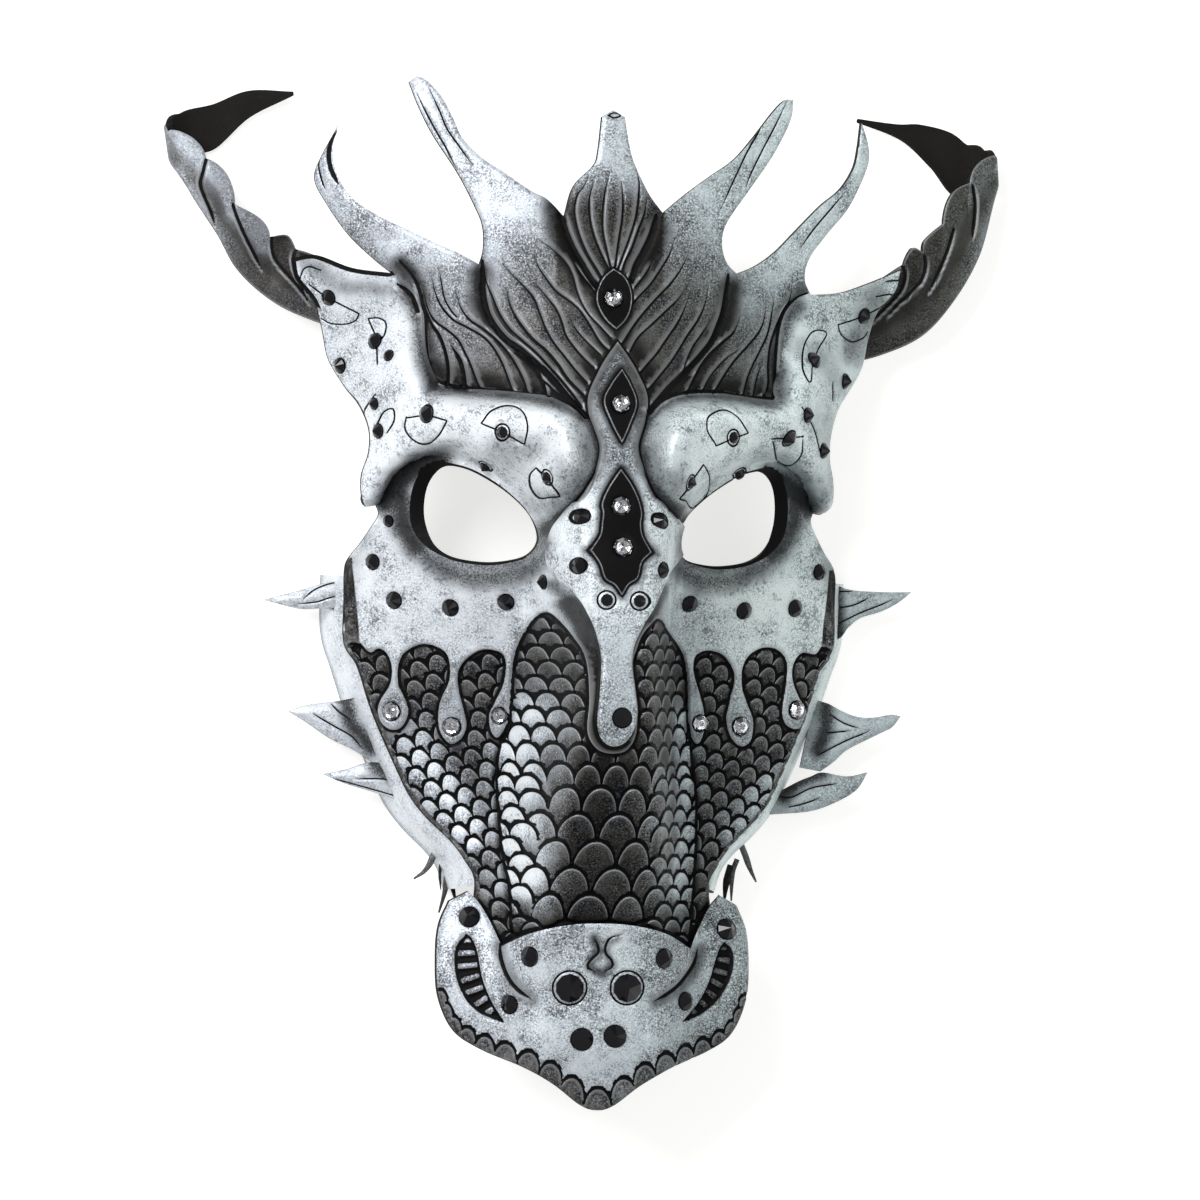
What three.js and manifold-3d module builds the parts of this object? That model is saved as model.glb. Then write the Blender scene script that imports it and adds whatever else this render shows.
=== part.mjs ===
// A moulded and carved leather dragon mask, lying on its back with the face up.
// Millimetres. +X is to the viewer's right, +Y towards the crown, +Z out of the face.
import * as THREE from 'three';
import { mergeVertices } from 'three/addons/utils/BufferGeometryUtils.js';
import Module from 'manifold-3d';

const wasm = await Module();
wasm.setup();

// Leather and layers
const LEATHER = 3.0; // thickness of the moulded face hide
const STRAP = 2.6; // thickness of the horn and jaw leather
const PLATE = 3.2; // thickness of the muzzle plate
const GLUE = 0.35; // space left between two layers
const RIM_Z = 18.6; // height of the cheek's edge over the ground

// Sections that carry the form, as [from, to, spacing]
const FORM_X = [[0, 12, 4], [12, 30, 4.5], [30, 58, 7], [58, 95, 7.4]];
const FORM_Y = [[-157, -87, 8.75], [-87, 18, 8.75], [18, 68, 5], [68, 159, 8.5]];

// Centre line and width of the form, each as [place along Y, size]
const DOME_HEIGHT = [
  [-155, 26], [-115, 30], [-100, 27], [-85, 23], [-60, 20], [-35, 21], [-15, 24], [5, 32],
  [25, 40], [45, 47], [62, 47], [90, 40], [110, 38], [155, 32],
];
const DOME_HALF_WIDTH = [[-155, 74], [60, 74], [100, 90], [155, 96]];
const SNOUT_HEIGHT = [
  [-155, 7], [-135, 6], [-115, 5], [-97, 12], [-80, 27], [-70, 36], [-50, 46], [-35, 49],
  [-15, 44], [5, 36], [15, 31], [27, 21], [45, 14], [60, 11], [76, 6], [90, 1], [155, 0],
];
const SNOUT_TOP_HALF = [[-155, 16], [-97, 14], [-70, 12], [-35, 8], [5, 8], [27, 10], [60, 6]];
const SNOUT_FOOT_HALF = [[-155, 34], [-97, 30], [-70, 30], [-35, 28], [5, 24], [60, 26]];

// Brow and temple: a padded form over each eye, given for the right side
const BROW_RISE = [
  [6, 0], [12, 10], [20, 19], [34, 19], [45, 17], [55, 16], [63, 14], [70, 11], [80, 5], [95, 1],
];
// Width of the pad's rounded border, as [place along X, size]; over this height it is level
const BROW_ROUND = [[44, 9], [56, 4], [80, 3.5]];
const TAIL_Y = [42, 52];
const BROW_FADE = [62, 84]; // the pad flattens into the temple between these
const TEMPLE_RISE = 1.5;
const BROW_EDGE = [
  [58, 106], [58.5, 93], [54.5, 85], [53, 78], [52.5, 70], [50.4, 62.5], [42, 61.2], [32, 61.3],
  [21.2, 60.6], [12.4, 57], [8.8, 52], [6.8, 45], [7.5, 37.5], [10.6, 31], [15.4, 26.4],
  [19.2, 23], [25, 28.7], [29.8, 34.3], [37.4, 39], [45.4, 42.4], [52, 43.3], [58, 40.8],
  [62.5, 36.5], [64.6, 31.5], [65.7, 28], [72, 26.5], [76, 28], [78, 40], [78, 60], [88, 75],
  [98, 92], [98, 106],
];

// Outlines seen from the front
const EYE = [
  [20.5, 17.5], [23.5, 13], [31, 11], [38, 11], [45, 12.5], [50, 16], [53, 22], [53.5, 29],
  [52, 35], [48, 39], [42, 38.5], [35, 35], [28, 30], [22.5, 24],
];
const CHEEK_SIDE = [
  [20, -111], [33, -104], [36, -95], [35.4, -84.5], [37.9, -79], [42.2, -73], [49.4, -66],
  [54.4, -59.5], [58.3, -51.5], [63.4, -40], [66.5, -32], [70, -21], [74, -14], [74.2, -1],
  [74.2, 8], [73, 11.5], [70, 15.5], [67, 20.5], [65, 24.5], [65.8, 27.3], [68.4, 26.8],
  [70.6, 29.5], [70.9, 36], [69.2, 43], [69.3, 50], [71.8, 57.5], [76, 63.5], [80.5, 71], [82.5, 80], [85, 88], [90.5, 94.5], [92, 100.6],
];
const CROWN_RIGHT = [
  [81.6, 96.5], [72.1, 93.4], [62, 92.5], [60, 97], [61.2, 103.1], [67, 110.7], [73.4, 118],
  [77.7, 125.6], [80.5, 132.8], [80.2, 138.2], [78, 144.5], [77.1, 137], [75.6, 130.7],
  [71.3, 124.3], [64.8, 119.1], [57, 111.5], [50.4, 105], [44.3, 100.7], [38, 98],
  [34.6, 101.5], [33.2, 107], [34.7, 113.2], [42, 123.5], [49.1, 133.5], [54.7, 144.1],
  [55.7, 150.7], [53, 150.4], [49.2, 146.7], [42.7, 138.5], [36.9, 132.1], [29.5, 126.9],
  [21.6, 121.1], [14.9, 115.5], [10.6, 121.3], [6.1, 130.6], [4.5, 137], [3.4, 144], [0, 146],
];
const CROWN_LEFT = [
  [-3.4, 144], [-4.6, 133.5], [-6, 129.3], [-11.9, 123], [-14.6, 114], [-19.9, 119.2],
  [-24.7, 121.6], [-32.9, 127.3], [-39, 131.4], [-44.3, 137], [-47.2, 143.3], [-50.5, 149.5],
  [-54.6, 154], [-57.3, 155.4], [-59.7, 153.6], [-56.9, 146.4], [-52.8, 138], [-45.5, 126.5],
  [-40.8, 117.3], [-38.3, 111], [-38, 104], [-39.1, 99.3], [-44.9, 102.5], [-51.3, 105.4],
  [-58.5, 108.9], [-67.9, 113.5], [-75.3, 118.8], [-79.7, 125.9], [-81, 133.4], [-79.6, 140.3],
  [-84.6, 130], [-85.8, 124.2], [-82.5, 117.4], [-76.3, 108.2], [-69.2, 100.9], [-64, 96.5],
  [-75, 98], [-85, 101.7],
];
const MUZZLE_SIDE = [
  [0, -152], [5, -150.5], [13, -144.5], [22, -139.5], [34, -134.5], [42, -129], [46.5, -119],
  [47.3, -108], [46.5, -98], [43.5, -90.5], [38, -87.5], [34.5, -91.5], [31, -98], [28.8, -103.5],
  [21, -99.5], [10, -97], [0, -96.4],
];

// Jaw: a band that turns down round the side of the cheek and stands on its edge
const JAW_RUN = [
  [35.5, -86], [37.9, -79], [42.2, -73], [49.4, -66], [54.4, -59.5], [58.3, -51.5], [63.4, -40],
  [66.8, -32], [70.5, -21], [73.5, -12], [74.2, -3], [74, 6],
];
const JAW_STEPS = 22;
// Its section beside the cheek's edge, as [distance outwards, share of the edge's height]
const JAW_SECTION = [[-7, 1], [-1, 1], [1.6, 0.9], [3.6, 0.6], [5, 0.25], [5.4, 0]];
const JAW_TUCK = 2; // the points up to here lie against the back of the hide
// Spikes bent outwards from the band, each an outline and its height at root and tip
const SPIKES = [
  { from: 13.5, to: 11, edge: [[74, -9], [79, -5.5], [84, -4], [91, -2], [98.5, 1], [90, 3.2],
    [83, 5], [74, 7]] },
  { from: 15, to: 12, edge: [[65, -45], [70.5, -44.5], [78, -41.5], [84.5, -37.5], [92.5, -33.5],
    [84, -33], [78, -31.5], [70.5, -29]] },
  { from: 17, to: 13, edge: [[57, -59], [63, -57.2], [70.5, -56], [81, -53.5], [72, -50.5],
    [61, -47.5]] },
];
const SPIKE_STRAP = 2;

// Horns: stations along each curled strip, as [outer x, y, inner x, y, height over the rim]
const HORN_LEFT = [
  [-76, 79, -70, 88, 1], [-95.4, 86.9, -90.4, 103.5, -0.5], [-107.9, 97.2, -99, 107.5, -2],
  [-114.1, 107.5, -108, 115.5, -3], [-123, 120.9, -117, 129.5, -4.5],
  [-126.8, 128, -127.5, 137.5, -8], [-126.5, 130.5, -128.3, 140, -12.5],
  [-122, 131.5, -123, 144.5, -17], [-114.3, 133, -114.5, 146.8, -17.9],
  [-103.4, 143, -104, 151, -16.5], [-90.6, 149.8, -90.8, 151, -13],
];
const HORN_RIGHT = [
  [72, 71.5, 69, 86, 1], [87, 75, 85, 94.5, -0.5], [99.9, 81.2, 96, 104.5, -1.5],
  [109.6, 92.5, 101, 107.5, -2.5], [117, 106, 108.5, 120.5, -4], [120.5, 119, 115, 129, -6],
  [122.2, 126.5, 121.5, 135, -9.5], [121.5, 127, 120, 137, -14], [116, 124.5, 115.7, 138.8, -17.2],
  [110.9, 124, 109.5, 143, -18], [104.3, 132, 99.9, 145.1, -17.4], [95, 140, 93, 144.9, -15],
  [80.2, 145.2, 80.4, 146.4, -12],
];
const HORN_STEPS = 36;
const HORN_ROOT = [0.12, 0.28]; // it leaves the back of the temple between these shares
const HORN_SCALLOPS = 5;
const SCALLOP_RISE = 1.8;
const SCALLOP_END = 0.5; // the scalloped edge stops at this share of the strip

// Studs and crystals as [x, y, radius]
const STUD_PAIRS = [
  [79.6, 88, 2.3], [75.3, 68, 2.2], [66.3, 74, 2.4], [66.3, 47.6, 2.2], [53.9, 52, 2.5],
  [34.1, 49, 2.7], [20.7, 36, 2.3], [37.7, 41.2, 2.2], [66.9, 10, 2.3], [60.1, -1, 2.5],
  [43.9, -2.5, 2.5], [27.4, -0.6, 2.5], [11.1, 24, 2.4], [11.2, 9.6, 2.4], [4.8, 0, 2.1],
  [20.3, -106.5, 2.9], [8.6, -115.5, 4.7], [26.5, -120, 2.7], [5, -130.4, 3.3], [38.6, -96.5, 3.1],
];
const STUD_SINGLES = [[64.3, 57, 2.2], [-19, 5, 2.2], [0, -35, 2.8]];
const CRYSTAL_PAIRS = [[60.9, -33, 2.5], [43.3, -37.8, 2.5], [30.1, -35.8, 2.3]];
const CRYSTAL_SINGLES = [[0, 89.4, 2.6], [0, 57.6, 2.5], [0, 27.5, 2.6], [0, 15.3, 2.6]];
const STUD_PEAK = 0.85; // height of a stud's point over its radius
const CRYSTAL_PEAK = 0.5;
const GIRDLE = 0.6; // straight side of a stone under its facets
const STONE_SIDES = 6;

// Small helpers
const clamp = (v, low, high) => Math.min(Math.max(v, low), high);
const mix = (a, b, t) => a + (b - a) * t;
const smooth = (low, high, v) => {
  const t = clamp((v - low) / (high - low), 0, 1);
  return t * t * (3 - 2 * t);
};
const mirrored = (points) => points.map(([x, y, ...rest]) => [-x, y, ...rest]);

// Smooth value along a list of [place, size] pairs, level outside its ends
function along(keys, at) {
  const last = keys.length - 1;
  if (at <= keys[0][0]) return keys[0][1];
  if (at >= keys[last][0]) return keys[last][1];
  const k = keys.findIndex(([place]) => place > at) - 1;
  const slope = (i) => {
    const a = keys[Math.max(i - 1, 0)];
    const b = keys[Math.min(i + 1, last)];
    return (b[1] - a[1]) / (b[0] - a[0]);
  };
  const [x0, y0] = keys[k];
  const [x1, y1] = keys[k + 1];
  const w = x1 - x0;
  const t = (at - x0) / w;
  const t2 = t * t;
  const t3 = t2 * t;
  return (2 * t3 - 3 * t2 + 1) * y0 + (t3 - 2 * t2 + t) * w * slope(k)
    + (3 * t2 - 2 * t3) * y1 + (t3 - t2) * w * slope(k + 1);
}

// Distance from a point to a closed outline, positive inside it
function depthInside(outline, x, y) {
  let nearest = Infinity;
  let inside = false;
  outline.forEach(([ax, ay], i) => {
    const [bx, by] = outline[(i + 1) % outline.length];
    const dx = bx - ax;
    const dy = by - ay;
    const t = clamp(((x - ax) * dx + (y - ay) * dy) / (dx * dx + dy * dy), 0, 1);
    nearest = Math.min(nearest, Math.hypot(x - ax - t * dx, y - ay - t * dy));
    if ((ay > y) !== (by > y) && x < ax + ((y - ay) / dy) * dx) inside = !inside;
  });
  return inside ? nearest : -nearest;
}

// Height of the face over the ground, at the grain side of the hide
function dome(x, y) {
  const share = 1 - (x / along(DOME_HALF_WIDTH, y)) ** 2;
  const softened = 0.5 * (share + Math.hypot(share, 0.06));
  return along(DOME_HEIGHT, y) * softened;
}

function snout(x, y) {
  const top = along(SNOUT_TOP_HALF, y);
  const foot = along(SNOUT_FOOT_HALF, y);
  const t = clamp((Math.abs(x) - top) / (foot - top), 0, 1);
  return along(SNOUT_HEIGHT, y) * 0.5 * (1 + Math.cos(Math.PI * t));
}

function brow(x, y) {
  const depth = depthInside(BROW_EDGE, Math.abs(x), y);
  if (depth <= 0) return 0;
  const wide = mix(along(BROW_ROUND, Math.abs(x)), BROW_ROUND[0][1], smooth(...TAIL_Y, y));
  const t = Math.min(depth / wide, 1);
  const rise = mix(along(BROW_RISE, Math.abs(x)), TEMPLE_RISE, smooth(...BROW_FADE, y));
  return rise * Math.sin((Math.PI / 2) * t);
}

const face = (x, y) => RIM_Z + dome(x, y) + snout(x, y) + brow(x, y);

// How much a level thickness grows where the form is steep
function steepness(x, y) {
  const step = 1;
  const sx = (face(x + step, y) - face(x - step, y)) / (2 * step);
  const sy = (face(x, y + step) - face(x, y - step)) / (2 * step);
  return Math.min(Math.hypot(1, sx, sy), 2.6);
}

const hideTop = (x, y) => face(x, y);
const hideUnder = (x, y) => face(x, y) - LEATHER * steepness(x, y);
const plateUnder = (x, y) => face(x, y) + GLUE * steepness(x, y);
const plateTop = (x, y) => face(x, y) + (GLUE + PLATE) * steepness(x, y);

// Closed meshes to solids and back
function toSolid(geometry) {
  const bare = geometry.clone();
  bare.deleteAttribute('normal');
  bare.deleteAttribute('uv');
  const merged = mergeVertices(bare, 1e-4);
  return new wasm.Manifold(new wasm.Mesh({
    numProp: 3,
    vertProperties: new Float32Array(merged.attributes.position.array),
    triVerts: new Uint32Array(merged.index.array),
  }));
}

function toGeometry(solid) {
  const mesh = solid.getMesh();
  const geometry = new THREE.BufferGeometry();
  geometry.setAttribute('position', new THREE.BufferAttribute(mesh.vertProperties, 3));
  geometry.setIndex(new THREE.BufferAttribute(mesh.triVerts, 1));
  geometry.computeVertexNormals();
  return geometry;
}

// A closed shell from a grid of upper points and a grid of lower points
function shell(upper, lower) {
  const rows = upper.length;
  const cols = upper[0].length;
  const positions = [...upper.flat(), ...lower.flat()].flat();
  const at = (side, i, j) => side * rows * cols + i * cols + j;
  const index = [];
  const quad = (a, b, c, d) => index.push(a, b, c, a, c, d);
  for (let i = 0; i < rows - 1; i += 1) {
    for (let j = 0; j < cols - 1; j += 1) {
      quad(at(0, i, j), at(0, i + 1, j), at(0, i + 1, j + 1), at(0, i, j + 1));
      quad(at(1, i, j), at(1, i, j + 1), at(1, i + 1, j + 1), at(1, i + 1, j));
    }
  }
  for (let i = 0; i < rows - 1; i += 1) {
    quad(at(0, i, 0), at(1, i, 0), at(1, i + 1, 0), at(0, i + 1, 0));
    quad(at(0, i, cols - 1), at(0, i + 1, cols - 1), at(1, i + 1, cols - 1), at(1, i, cols - 1));
  }
  for (let j = 0; j < cols - 1; j += 1) {
    quad(at(0, 0, j), at(0, 0, j + 1), at(1, 0, j + 1), at(1, 0, j));
    quad(at(0, rows - 1, j), at(1, rows - 1, j), at(1, rows - 1, j + 1), at(0, rows - 1, j + 1));
  }
  const geometry = new THREE.BufferGeometry();
  geometry.setAttribute('position', new THREE.BufferAttribute(new Float32Array(positions), 3));
  geometry.setIndex(index);
  return geometry;
}

const stops = (low, high, step) => {
  const count = Math.round((high - low) / step);
  return Array.from({ length: count + 1 }, (_, i) => low + (i * (high - low)) / count);
};
const spaced = (runs) => [runs[0][0], ...runs.flatMap((run) => stops(...run).slice(1))];
const bothSides = (places) => [...places.slice(1).map((x) => -x).reverse(), ...places];
const formX = bothSides(spaced(FORM_X));
const formY = spaced(FORM_Y);
const within = (places, low, high) => places.filter((v) => v >= low && v <= high);

// A sheet between two height functions over the sections given
function sheet(xs, ys, under, top) {
  const grid = (height) => xs.map((x) => ys.map((y) => [x, y, height(x, y)]));
  return toSolid(shell(grid(top), grid(under)));
}

function asShape(points) {
  return new THREE.Shape(points.map(([x, y]) => new THREE.Vector2(x, y)));
}

// An upright block of an outline, tall enough to cut any sheet
function block(points, holes = []) {
  const shape = asShape(points);
  holes.forEach((hole) => shape.holes.push(asShape(hole)));
  const tall = 200;
  const geometry = new THREE.ExtrudeGeometry(shape, { depth: tall, bevelEnabled: false });
  return toSolid(geometry.translate(0, 0, -tall / 4));
}

// Face hide: crown, brows, cheeks and scaled snout in one moulded piece
function faceHide() {
  const outline = [
    [0, -113], ...CHEEK_SIDE, ...CROWN_RIGHT, ...CROWN_LEFT, ...mirrored(CHEEK_SIDE).reverse(),
  ];
  const body = sheet(formX, within(formY, -120, 160), hideUnder, hideTop);
  return toGeometry(body.intersect(block(outline, [EYE, mirrored(EYE)])));
}

// Muzzle plate: a second layer over the end of the snout, with a strut up each side
function muzzlePlate() {
  const outline = [...MUZZLE_SIDE, ...mirrored(MUZZLE_SIDE).reverse().slice(1, -1)];
  const body = sheet(within(formX, -60, 60), within(formY, -160, -80), plateUnder, plateTop);
  return toGeometry(body.intersect(block(outline)));
}

// Jaw band with its spikes, glued behind the cheek
function jaw(side) {
  const run = new THREE.SplineCurve(JAW_RUN.map(([x, y]) => new THREE.Vector2(x, y)));
  const section = (u, inwards) => {
    const edge = run.getPoint(u);
    const along2d = run.getTangent(u);
    const out = new THREE.Vector2(along2d.y, -along2d.x);
    const height = hideUnder(edge.x, edge.y) - GLUE * steepness(edge.x, edge.y);
    return JAW_SECTION.map(([reach, share], i) => {
      const wall = smooth(0, JAW_SECTION.length - 2, i);
      const p = edge.clone().addScaledVector(out, reach - inwards * STRAP * wall);
      const tucked = hideUnder(p.x, p.y) - GLUE * steepness(p.x, p.y);
      const z = (i < JAW_TUCK ? tucked : height * share) - inwards * STRAP * (1 - wall ** 2);
      return [side * p.x, p.y, Math.max(z, 0)];
    });
  };
  const layer = (inwards) => stops(0, 1, 1 / JAW_STEPS).map((u) => section(u, inwards));
  const layers = [layer(0), layer(1)];
  if (side > 0) layers.reverse();
  const band = toSolid(shell(...layers));
  return toGeometry(SPIKES.reduce((whole, { from, to, edge }) => {
    const xs = edge.map(([x]) => x);
    const [root, tip] = [Math.min(...xs), Math.max(...xs)];
    const top = (x) => mix(from, to, (Math.abs(x) - root) / (tip - root));
    const across = [side * root, side * tip].sort((m, n) => m - n);
    const ys = edge.map(([, y]) => y);
    const leaf = sheet(across, [Math.min(...ys), Math.max(...ys)], (x) => top(x) - SPIKE_STRAP, top);
    return whole.add(leaf.intersect(block(edge.map(([x, y]) => [side * x, y]))));
  }, band));
}

// Horn: a strip glued behind the temple, which curls backwards over its own length
function horn(stations) {
  const hand = Math.sign(stations[0][0]);
  const curve = (pick) => new THREE.CatmullRomCurve3(stations.map(pick));
  const outer = curve(([x, y, , , z]) => new THREE.Vector3(x, y, z + RIM_Z));
  const inner = curve(([, , x, y, z]) => new THREE.Vector3(x, y, z + RIM_Z));
  const across = [0, 0.33, 0.67, 1];
  const point = (u, v) => {
    const a = outer.getPoint(u);
    const b = inner.getPoint(u);
    const wave = Math.abs(Math.sin((Math.PI * HORN_SCALLOPS * u) / SCALLOP_END));
    const rise = u < SCALLOP_END ? SCALLOP_RISE * wave * v : 0;
    return a.lerp(b, v).addScaledVector(b.clone().sub(outer.getPoint(u)).normalize(), rise);
  };
  const normal = (u, v) => {
    const d = 0.01;
    const du = point(Math.min(u + d, 1), v).sub(point(Math.max(u - d, 0), v));
    const dv = inner.getPoint(u).sub(outer.getPoint(u));
    return du.cross(dv).normalize().multiplyScalar(hand);
  };
  const layer = (sign) => stops(0, 1, 1 / HORN_STEPS).map((u) => across.map((v) => {
    const p = point(u, v).addScaledVector(normal(u, v), (sign * STRAP) / 2);
    const root = 1 - smooth(...HORN_ROOT, u);
    const tucked = hideUnder(p.x, p.y) - GLUE * 2 - STRAP / 2 + (sign * STRAP) / 2;
    return [p.x, p.y, Math.max(mix(p.z, Math.min(tucked, p.z + 8), root), 0)];
  }));
  return toGeometry(toSolid(shell(layer(hand), layer(-hand))));
}

// Faceted height of a sheet's upper side, on the same sections as the sheet
function facetHeight(top, x, y) {
  const i = formX.findIndex((place) => place > x) - 1;
  const j = formY.findIndex((place) => place > y) - 1;
  const [x0, x1, y0, y1] = [formX[i], formX[i + 1], formY[j], formY[j + 1]];
  const s = (x - x0) / (x1 - x0);
  const t = (y - y0) / (y1 - y0);
  const a = top(x0, y0);
  const c = top(x1, y1);
  const corner = s > t ? top(x1, y0) : top(x0, y1);
  return s > t ? a + (corner - a) * s + (c - corner) * t : a + (corner - a) * t + (c - corner) * s;
}

// Stone: a short girdle under a faceted point, set square to the surface
function stone([x, y, radius], top, peak) {
  const profile = [
    [0, 0], [radius, 0], [radius, GIRDLE], [0, GIRDLE + radius * peak],
  ];
  const geometry = new THREE.LatheGeometry(
    profile.map(([r, h]) => new THREE.Vector2(r, h)),
    STONE_SIDES,
  );
  geometry.rotateX(Math.PI / 2);
  const sx = (facetHeight(top, x + radius, y) - facetHeight(top, x - radius, y)) / (2 * radius);
  const sy = (facetHeight(top, x, y + radius) - facetHeight(top, x, y - radius)) / (2 * radius);
  const normal = new THREE.Vector3(-sx, -sy, 1).normalize();
  const turn = new THREE.Quaternion().setFromUnitVectors(new THREE.Vector3(0, 0, 1), normal);
  geometry.applyQuaternion(turn);
  let lift = 0;
  const base = stops(0, 2 * Math.PI, Math.PI / 8).flatMap((angle) => [1, 0.6].map((share) => (
    new THREE.Vector3(Math.cos(angle), Math.sin(angle), 0).multiplyScalar(radius * share)
  )));
  base.forEach((p) => {
    p.applyQuaternion(turn);
    lift = Math.max(lift, facetHeight(top, x + p.x, y + p.y) - facetHeight(top, x, y) - p.z);
  });
  geometry.translate(x, y, facetHeight(top, x, y) + lift + GLUE);
  return toGeometry(toSolid(geometry));
}

// Materials
const paint = (color, roughness, metalness) => (
  new THREE.MeshStandardMaterial({ color, roughness, metalness })
);
const silver = paint(0xc3d0d6, 0.5, 0.3);
const graphite = paint(0x3b3e42, 0.45, 0.5);
const onyx = paint(0x0b0b0d, 0.1, 0.2);
const crystal = paint(0xe8eef2, 0.05, 0.6);

// Assembly
const group = new THREE.Group();
const place = (name, geometry, material) => {
  const mesh = new THREE.Mesh(geometry, material);
  mesh.name = name;
  group.add(mesh);
};

place('face_hide', faceHide(), silver);
place('muzzle_plate', muzzlePlate(), silver);
place('horn_left', horn(HORN_LEFT), graphite);
place('horn_right', horn(HORN_RIGHT), graphite);
place('jaw_left', jaw(-1), silver);
place('jaw_right', jaw(1), silver);

const PLATE_TOP_Y = -95; // stones below this sit on the muzzle plate
const carrier = (y) => (y < PLATE_TOP_Y ? plateTop : hideTop);
const setStones = (word, pairs, singles, peak, material) => {
  const all = [...pairs, ...mirrored(pairs), ...singles];
  all.forEach((seat, i) => {
    const name = `${word}_${String(i + 1).padStart(2, '0')}`;
    place(name, stone(seat, carrier(seat[1]), peak), material);
  });
};
setStones('stud', STUD_PAIRS, STUD_SINGLES, STUD_PEAK, onyx);
setStones('crystal', CRYSTAL_PAIRS, CRYSTAL_SINGLES, CRYSTAL_PEAK, crystal);

// The frame's origin is under the middle of the whole piece, on the ground
const extent = new THREE.Box3().setFromObject(group);
const middle = extent.getCenter(new THREE.Vector3());
group.position.set(-middle.x, -middle.y, -extent.min.z);

export default group;
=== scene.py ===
"""A leather dragon mask lying on its back: a carved crown over padded brows, a scaled snout
under a dripping silver plate, a muzzle plate, two jaw bands and two curled horns."""
import math
from types import SimpleNamespace

import bmesh
import bpy
import numpy as np
from mathutils import Matrix, Vector
from mathutils.geometry import delaunay_2d_cdt
from mathutils.kdtree import KDTree


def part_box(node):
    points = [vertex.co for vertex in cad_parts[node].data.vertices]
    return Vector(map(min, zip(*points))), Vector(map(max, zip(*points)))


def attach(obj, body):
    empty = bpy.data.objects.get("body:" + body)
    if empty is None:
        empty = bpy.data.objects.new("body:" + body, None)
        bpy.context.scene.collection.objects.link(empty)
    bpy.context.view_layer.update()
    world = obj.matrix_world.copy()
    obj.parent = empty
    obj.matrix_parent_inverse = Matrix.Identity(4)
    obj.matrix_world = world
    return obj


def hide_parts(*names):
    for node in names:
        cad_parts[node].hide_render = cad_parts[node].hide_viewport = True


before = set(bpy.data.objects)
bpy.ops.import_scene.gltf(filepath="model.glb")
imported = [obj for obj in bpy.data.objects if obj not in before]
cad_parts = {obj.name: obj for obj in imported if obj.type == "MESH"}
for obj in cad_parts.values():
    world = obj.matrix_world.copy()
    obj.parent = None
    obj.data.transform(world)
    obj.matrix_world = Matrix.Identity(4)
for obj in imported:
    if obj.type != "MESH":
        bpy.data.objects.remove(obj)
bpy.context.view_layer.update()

MM = 0.001

# Leather and layers, in millimetres as all sizes below
LEATHER = 3.0
STRAP = 2.6
PLATE = 3.2
GLUE = 0.35
RIM_Z = 18.6  # height of the cheek's edge over the ground
HIDE_TOP_Y = 155.4  # highest point of the hide's outline
STEEPEST = 2.6  # a layer looks this many times thicker at most where the face is steep
DOME_SOFT = 0.06  # keeps the dome's height from breaking off at its border
hide_low, hide_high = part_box("face_hide")
ORIGIN = Vector(((hide_low.x + hide_high.x) / 2, hide_high.y - HIDE_TOP_Y * MM, 0))

# Form of the face along its centre line, as [place along Y, size]
DOME_HEIGHT = [
    [-155, 26], [-115, 30], [-100, 27], [-85, 23], [-60, 20], [-35, 21], [-15, 24], [5, 32],
    [25, 40], [45, 47], [62, 47], [90, 40], [110, 38], [155, 32],
]
DOME_HALF_WIDTH = [[-155, 74], [60, 74], [100, 90], [155, 96]]
SNOUT_HEIGHT = [
    [-155, 7], [-135, 6], [-115, 5], [-97, 12], [-80, 27], [-70, 36], [-50, 46], [-35, 49],
    [-15, 44], [5, 36], [15, 31], [27, 21], [45, 14], [60, 11], [76, 6], [90, 1], [155, 0],
]
SNOUT_TOP_HALF = [[-155, 16], [-97, 14], [-70, 12], [-35, 8], [5, 8], [27, 10], [60, 6]]
SNOUT_FOOT_HALF = [[-155, 34], [-97, 30], [-70, 30], [-35, 28], [5, 24], [60, 26]]
BROW_RISE = [
    [6, 0], [12, 10], [20, 19], [34, 19], [45, 17], [55, 16], [63, 14], [70, 11], [80, 5], [95, 1],
]
BROW_ROUND = [[44, 9], [56, 4], [80, 3.5]]  # width of its rounded border, by the place along X
TAIL_Y = (42, 52)  # over this height the border is as round as in the middle
BROW_FADE = (62, 84)
TEMPLE_RISE = 1.5
BROW_TAIL = [
    [25, 28.7], [29.8, 34.3], [37.4, 39], [45.4, 42.4], [52, 43.3], [58, 40.8], [62.5, 36.5],
    [64.6, 31.5], [65.7, 28], [72, 26.5],
]
BROW_EDGE = [
    [58, 106], [58.5, 93], [54.5, 85], [53, 78], [52.5, 70], [50.4, 62.5], [42, 61.2], [32, 61.3],
    [21.2, 60.6], [12.4, 57], [8.8, 52], [6.8, 45], [7.5, 37.5], [10.6, 31], [15.4, 26.4],
    [19.2, 23], *BROW_TAIL, [76, 28], [78, 40], [78, 60], [88, 75], [98, 92], [98, 106],
]

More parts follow.
